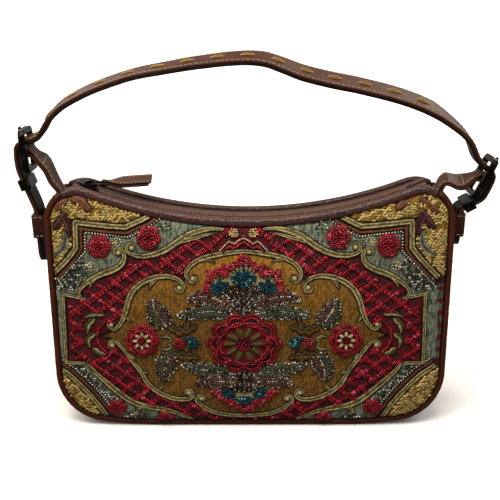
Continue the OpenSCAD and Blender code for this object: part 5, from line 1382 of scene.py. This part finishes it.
# Chapes folded round the buckle bars, and side loops
chapeForm = {"half": 9.0, "ply": 0.85, "apart": 0.9, "sunk": 9, "bow": 3.6, "foldR": 2.6, "clear": 5.5,
             "roll": 19, "barEase": (6, 14), "rootEase": (2, 12), "turn": (70, 290), "topShare": 0.47,
             "groove": 0.72, "dome": 0.05, "sewnFrom": 5, "crossAt": 14, "crossHalf": 7, "crossPitch": 2.2,
             "crossL": 2.1}
for name, way in (("left", -1), ("right", 1)):
    e = ends[name]
    bar = np.array(e["bar"], float)
    root = onArc(topC, bag["topR"], bag["chapeAt"])
    chord = bar - root
    sideways = unit(np.array([-chord[1], chord[0]]))
    foot = onArc(topC, bag["topR"] - chapeForm["sunk"], bag["chapeAt"])
    waves = [root + b[0] * chord + b[1] * chapeForm["bow"] * sideways for b in e["bends"]]
    line = smoothLine([foot, root] + waves + [bar], 1.5)
    keep = np.linalg.norm(line - bar, axis=1) > chapeForm["clear"]
    upperPly, lowerPly = (beside(line, s * chapeForm["apart"])[keep] for s in (1, -1))
    d = unit(bar - line[keep][-1])
    turnA = [math.atan2(-d[1], -d[0]) - math.radians(q) for q in np.linspace(*chapeForm["turn"], 12)]
    loopPts = np.array([bar + chapeForm["foldR"] * np.array([math.cos(q), math.sin(q)]) for q in turnA])
    fold = evenly(smoothLine(np.concatenate([upperPly[::3], loopPts, lowerPly[::-1][::3]]), 1.0), 1.3)
    fold = fold * [way, 1]
    path = inXZ(fold if way > 0 else fold[::-1])
    made = Pile()
    nearBar, nearRoot = (np.linalg.norm(path[:, [0, 2]] - q * [way, 1], axis=1) for q in (bar, root))
    fromBar, fromRoot = (np.clip((away - a) / (b - a), 0, 1) for away, (a, b) in (
        (nearBar, chapeForm["barEase"]), (nearRoot, chapeForm["rootEase"])))
    turned = tilted(chapeForm["roll"] * fromBar * fromRoot)
    chapeRows, up = strip(made, path, turned, chapeForm["half"], -chapeForm["ply"], chapeForm["ply"],
                          topHide, edgeHide, chapeForm["groove"], chapeForm["dome"])
    step, count, topShare = np.arange(len(path)), len(path), chapeForm["topShare"]
    topRun = step < count * topShare if way > 0 else step > count * (1 - topShare)
    clear = topRun & (nearBar > chapeForm["sewnFrom"])
    for k in (0, 1):
        stitch(chapeRows[clear, k], up[clear])
    i = np.flatnonzero(clear)[np.argmin(np.abs(nearBar[clear] - chapeForm["crossAt"]))]
    cross = np.linspace(-chapeForm["crossHalf"], chapeForm["crossHalf"], 9)[:, None]
    cross = path[i] + turned[i] * cross + up[i] * chapeForm["ply"]
    stitch(cross, np.tile(up[i], (9, 1)), pitch=chapeForm["crossPitch"], length=chapeForm["crossL"])
    piece = made.piece(f"{name}_chape_leather", calf)
    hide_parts(f"{name}_chape")

    # outwards and back: flat foot, bend, one wall, and the same again mirrored
    deep, foot, reach = loopForm["deep"], loopForm["foot"], e["gap"] + loopForm["reach"]
    halfBend = [(0.95, foot), (0.95, 13.2), (1.5, 11.9), (3.2, deep), (reach - 0.8, deep),
                (reach + 0.3, 11.0), (reach + 0.9, 9.6)]
    bend = smoothLine([(a, -b) for a, b in halfBend] + [(reach + 0.9, 0)] + halfBend[::-1], 0.8)
    lean = math.radians(bag["lean"])
    path = np.stack([sideX(loopForm["z"]) + bend[:, 0] * math.cos(lean), bend[:, 1],
                     loopForm["z"] - bend[:, 0] * math.sin(lean)], -1) * [way, 1, 1]
    made = Pile()
    upDir = np.array([way * math.sin(lean), 0, math.cos(lean)])
    loopRows, up = strip(made, path, upDir * way, loopForm["half"], -loopForm["ply"], loopForm["ply"],
                         hide, hideDark, loopForm["groove"], loopForm["dome"])
    for k in (0, 1):
        stitch(loopRows[6:-6, k], up[6:-6], pitch=loopForm["stitch"], length=loopForm["stitchL"])
    piece = made.piece(f"{name}_loop_leather", calf)
    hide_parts(f"{name}_side_loop")

# Pull tab, folded round the ring
tabForm = {"far": (-105.0766, 174.0873), "tilt": 3.8, "length": 35, "half": 5.5, "neck": 2.9, "ply": 1.6,
           "bar": 0.9, "barGap": 0.1, "apart": 0.83, "skin": 0.75, "roll": 22, "rollAt": (5, 14),
           "groove": 0.7, "dome": 0.05, "foldFrom": 2.6, "frontShare": 0.56, "stitch": 2.8, "stitchL": 1.9,
           "threadR": 0.3}
far = np.array(tabForm["far"])
d = np.array([math.cos(math.radians(tabForm["tilt"])), math.sin(math.radians(tabForm["tilt"]))])
u = np.array([-d[1], d[0]])
wrapR = tabForm["bar"] + tabForm["barGap"] + tabForm["ply"] / 2
along = np.arange(tabForm["length"], tabForm["foldFrom"], -1.0)
over = [far + d * a + u * tabForm["apart"] for a in along]
under = [far + d * a - u * tabForm["apart"] for a in along[::-1]]
around = [far + wrapR * (-d * math.sin(q) + u * math.cos(q)) for q in np.linspace(0.1, math.pi - 0.1, 9)]
fold = evenly(smoothLine(np.array(over[::3] + around + under[::3]), 0.8), 0.9)[::-1]
reach = (fold - far) @ d
neck, wide, end = tabForm["neck"], tabForm["half"], tabForm["length"]
# narrow at the ring, with its far corners eased
half = np.interp(reach, [0, 4, 9, end - 1.5, end - 0.4, end + 0.2],
                 [neck, neck, wide, wide, wide - 0.3, wide - 1.1])
turned = tilted(np.interp(reach, tabForm["rollAt"], [0, tabForm["roll"]]))
made, tabSewn = Pile(), Pile()
tabRows, up = strip(made, inXZ(fold), turned, half, -tabForm["skin"], tabForm["skin"], topHide, hideDark,
                    tabForm["groove"], tabForm["dome"])
frontSide = np.arange(len(fold)) > len(fold) * tabForm["frontShare"]
for k in (0, 1):
    stitch(tabRows[frontSide, k], up[frontSide], pitch=tabForm["stitch"], length=tabForm["stitchL"],
           r=tabForm["threadR"], pile=tabSewn)
tabPiece = made.piece("pull_tab_leather", calf, "tab")
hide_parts("pull_tab")
for made in (sewn.piece("stitching", cordThread), tabSewn.piece("tab_stitching", cordThread, "tab")):
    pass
print("chapes, loops and pull tab")

# Metal and board stay as the CAD solids; the metal's corners are eased
metalForm = {"join": 0.00002, "ease": 0.0004, "toothEase": 0.0002, "angle": 0.6}  # metres, radians
metalNodes = ["zip_slider", "pull_ring", "zip_stops", "front_zip_teeth", "back_zip_teeth"]
metalNodes += [f"{side}_{part}" for side in ("left", "right")
               for part in ("buckle_frame", "buckle_prong", "metal_keeper")]
for name in metalNodes:
    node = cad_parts[name]
    node.data.materials.clear()
    node.data.materials.append(toothBrass if "teeth" in name else darkBrass)
    weld = node.modifiers.new("join", "WELD")
    weld.merge_threshold = metalForm["join"]
    ease = node.modifiers.new("ease", "BEVEL")
    ease.width = metalForm["toothEase" if "teeth" in name else "ease"]
    ease.segments, ease.limit_method, ease.angle_limit = 2, "ANGLE", metalForm["angle"]
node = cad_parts["base_board"]
node.data.materials.clear()
node.data.materials.append(board)
print("metal")

bpy.context.view_layer.update()
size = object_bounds()
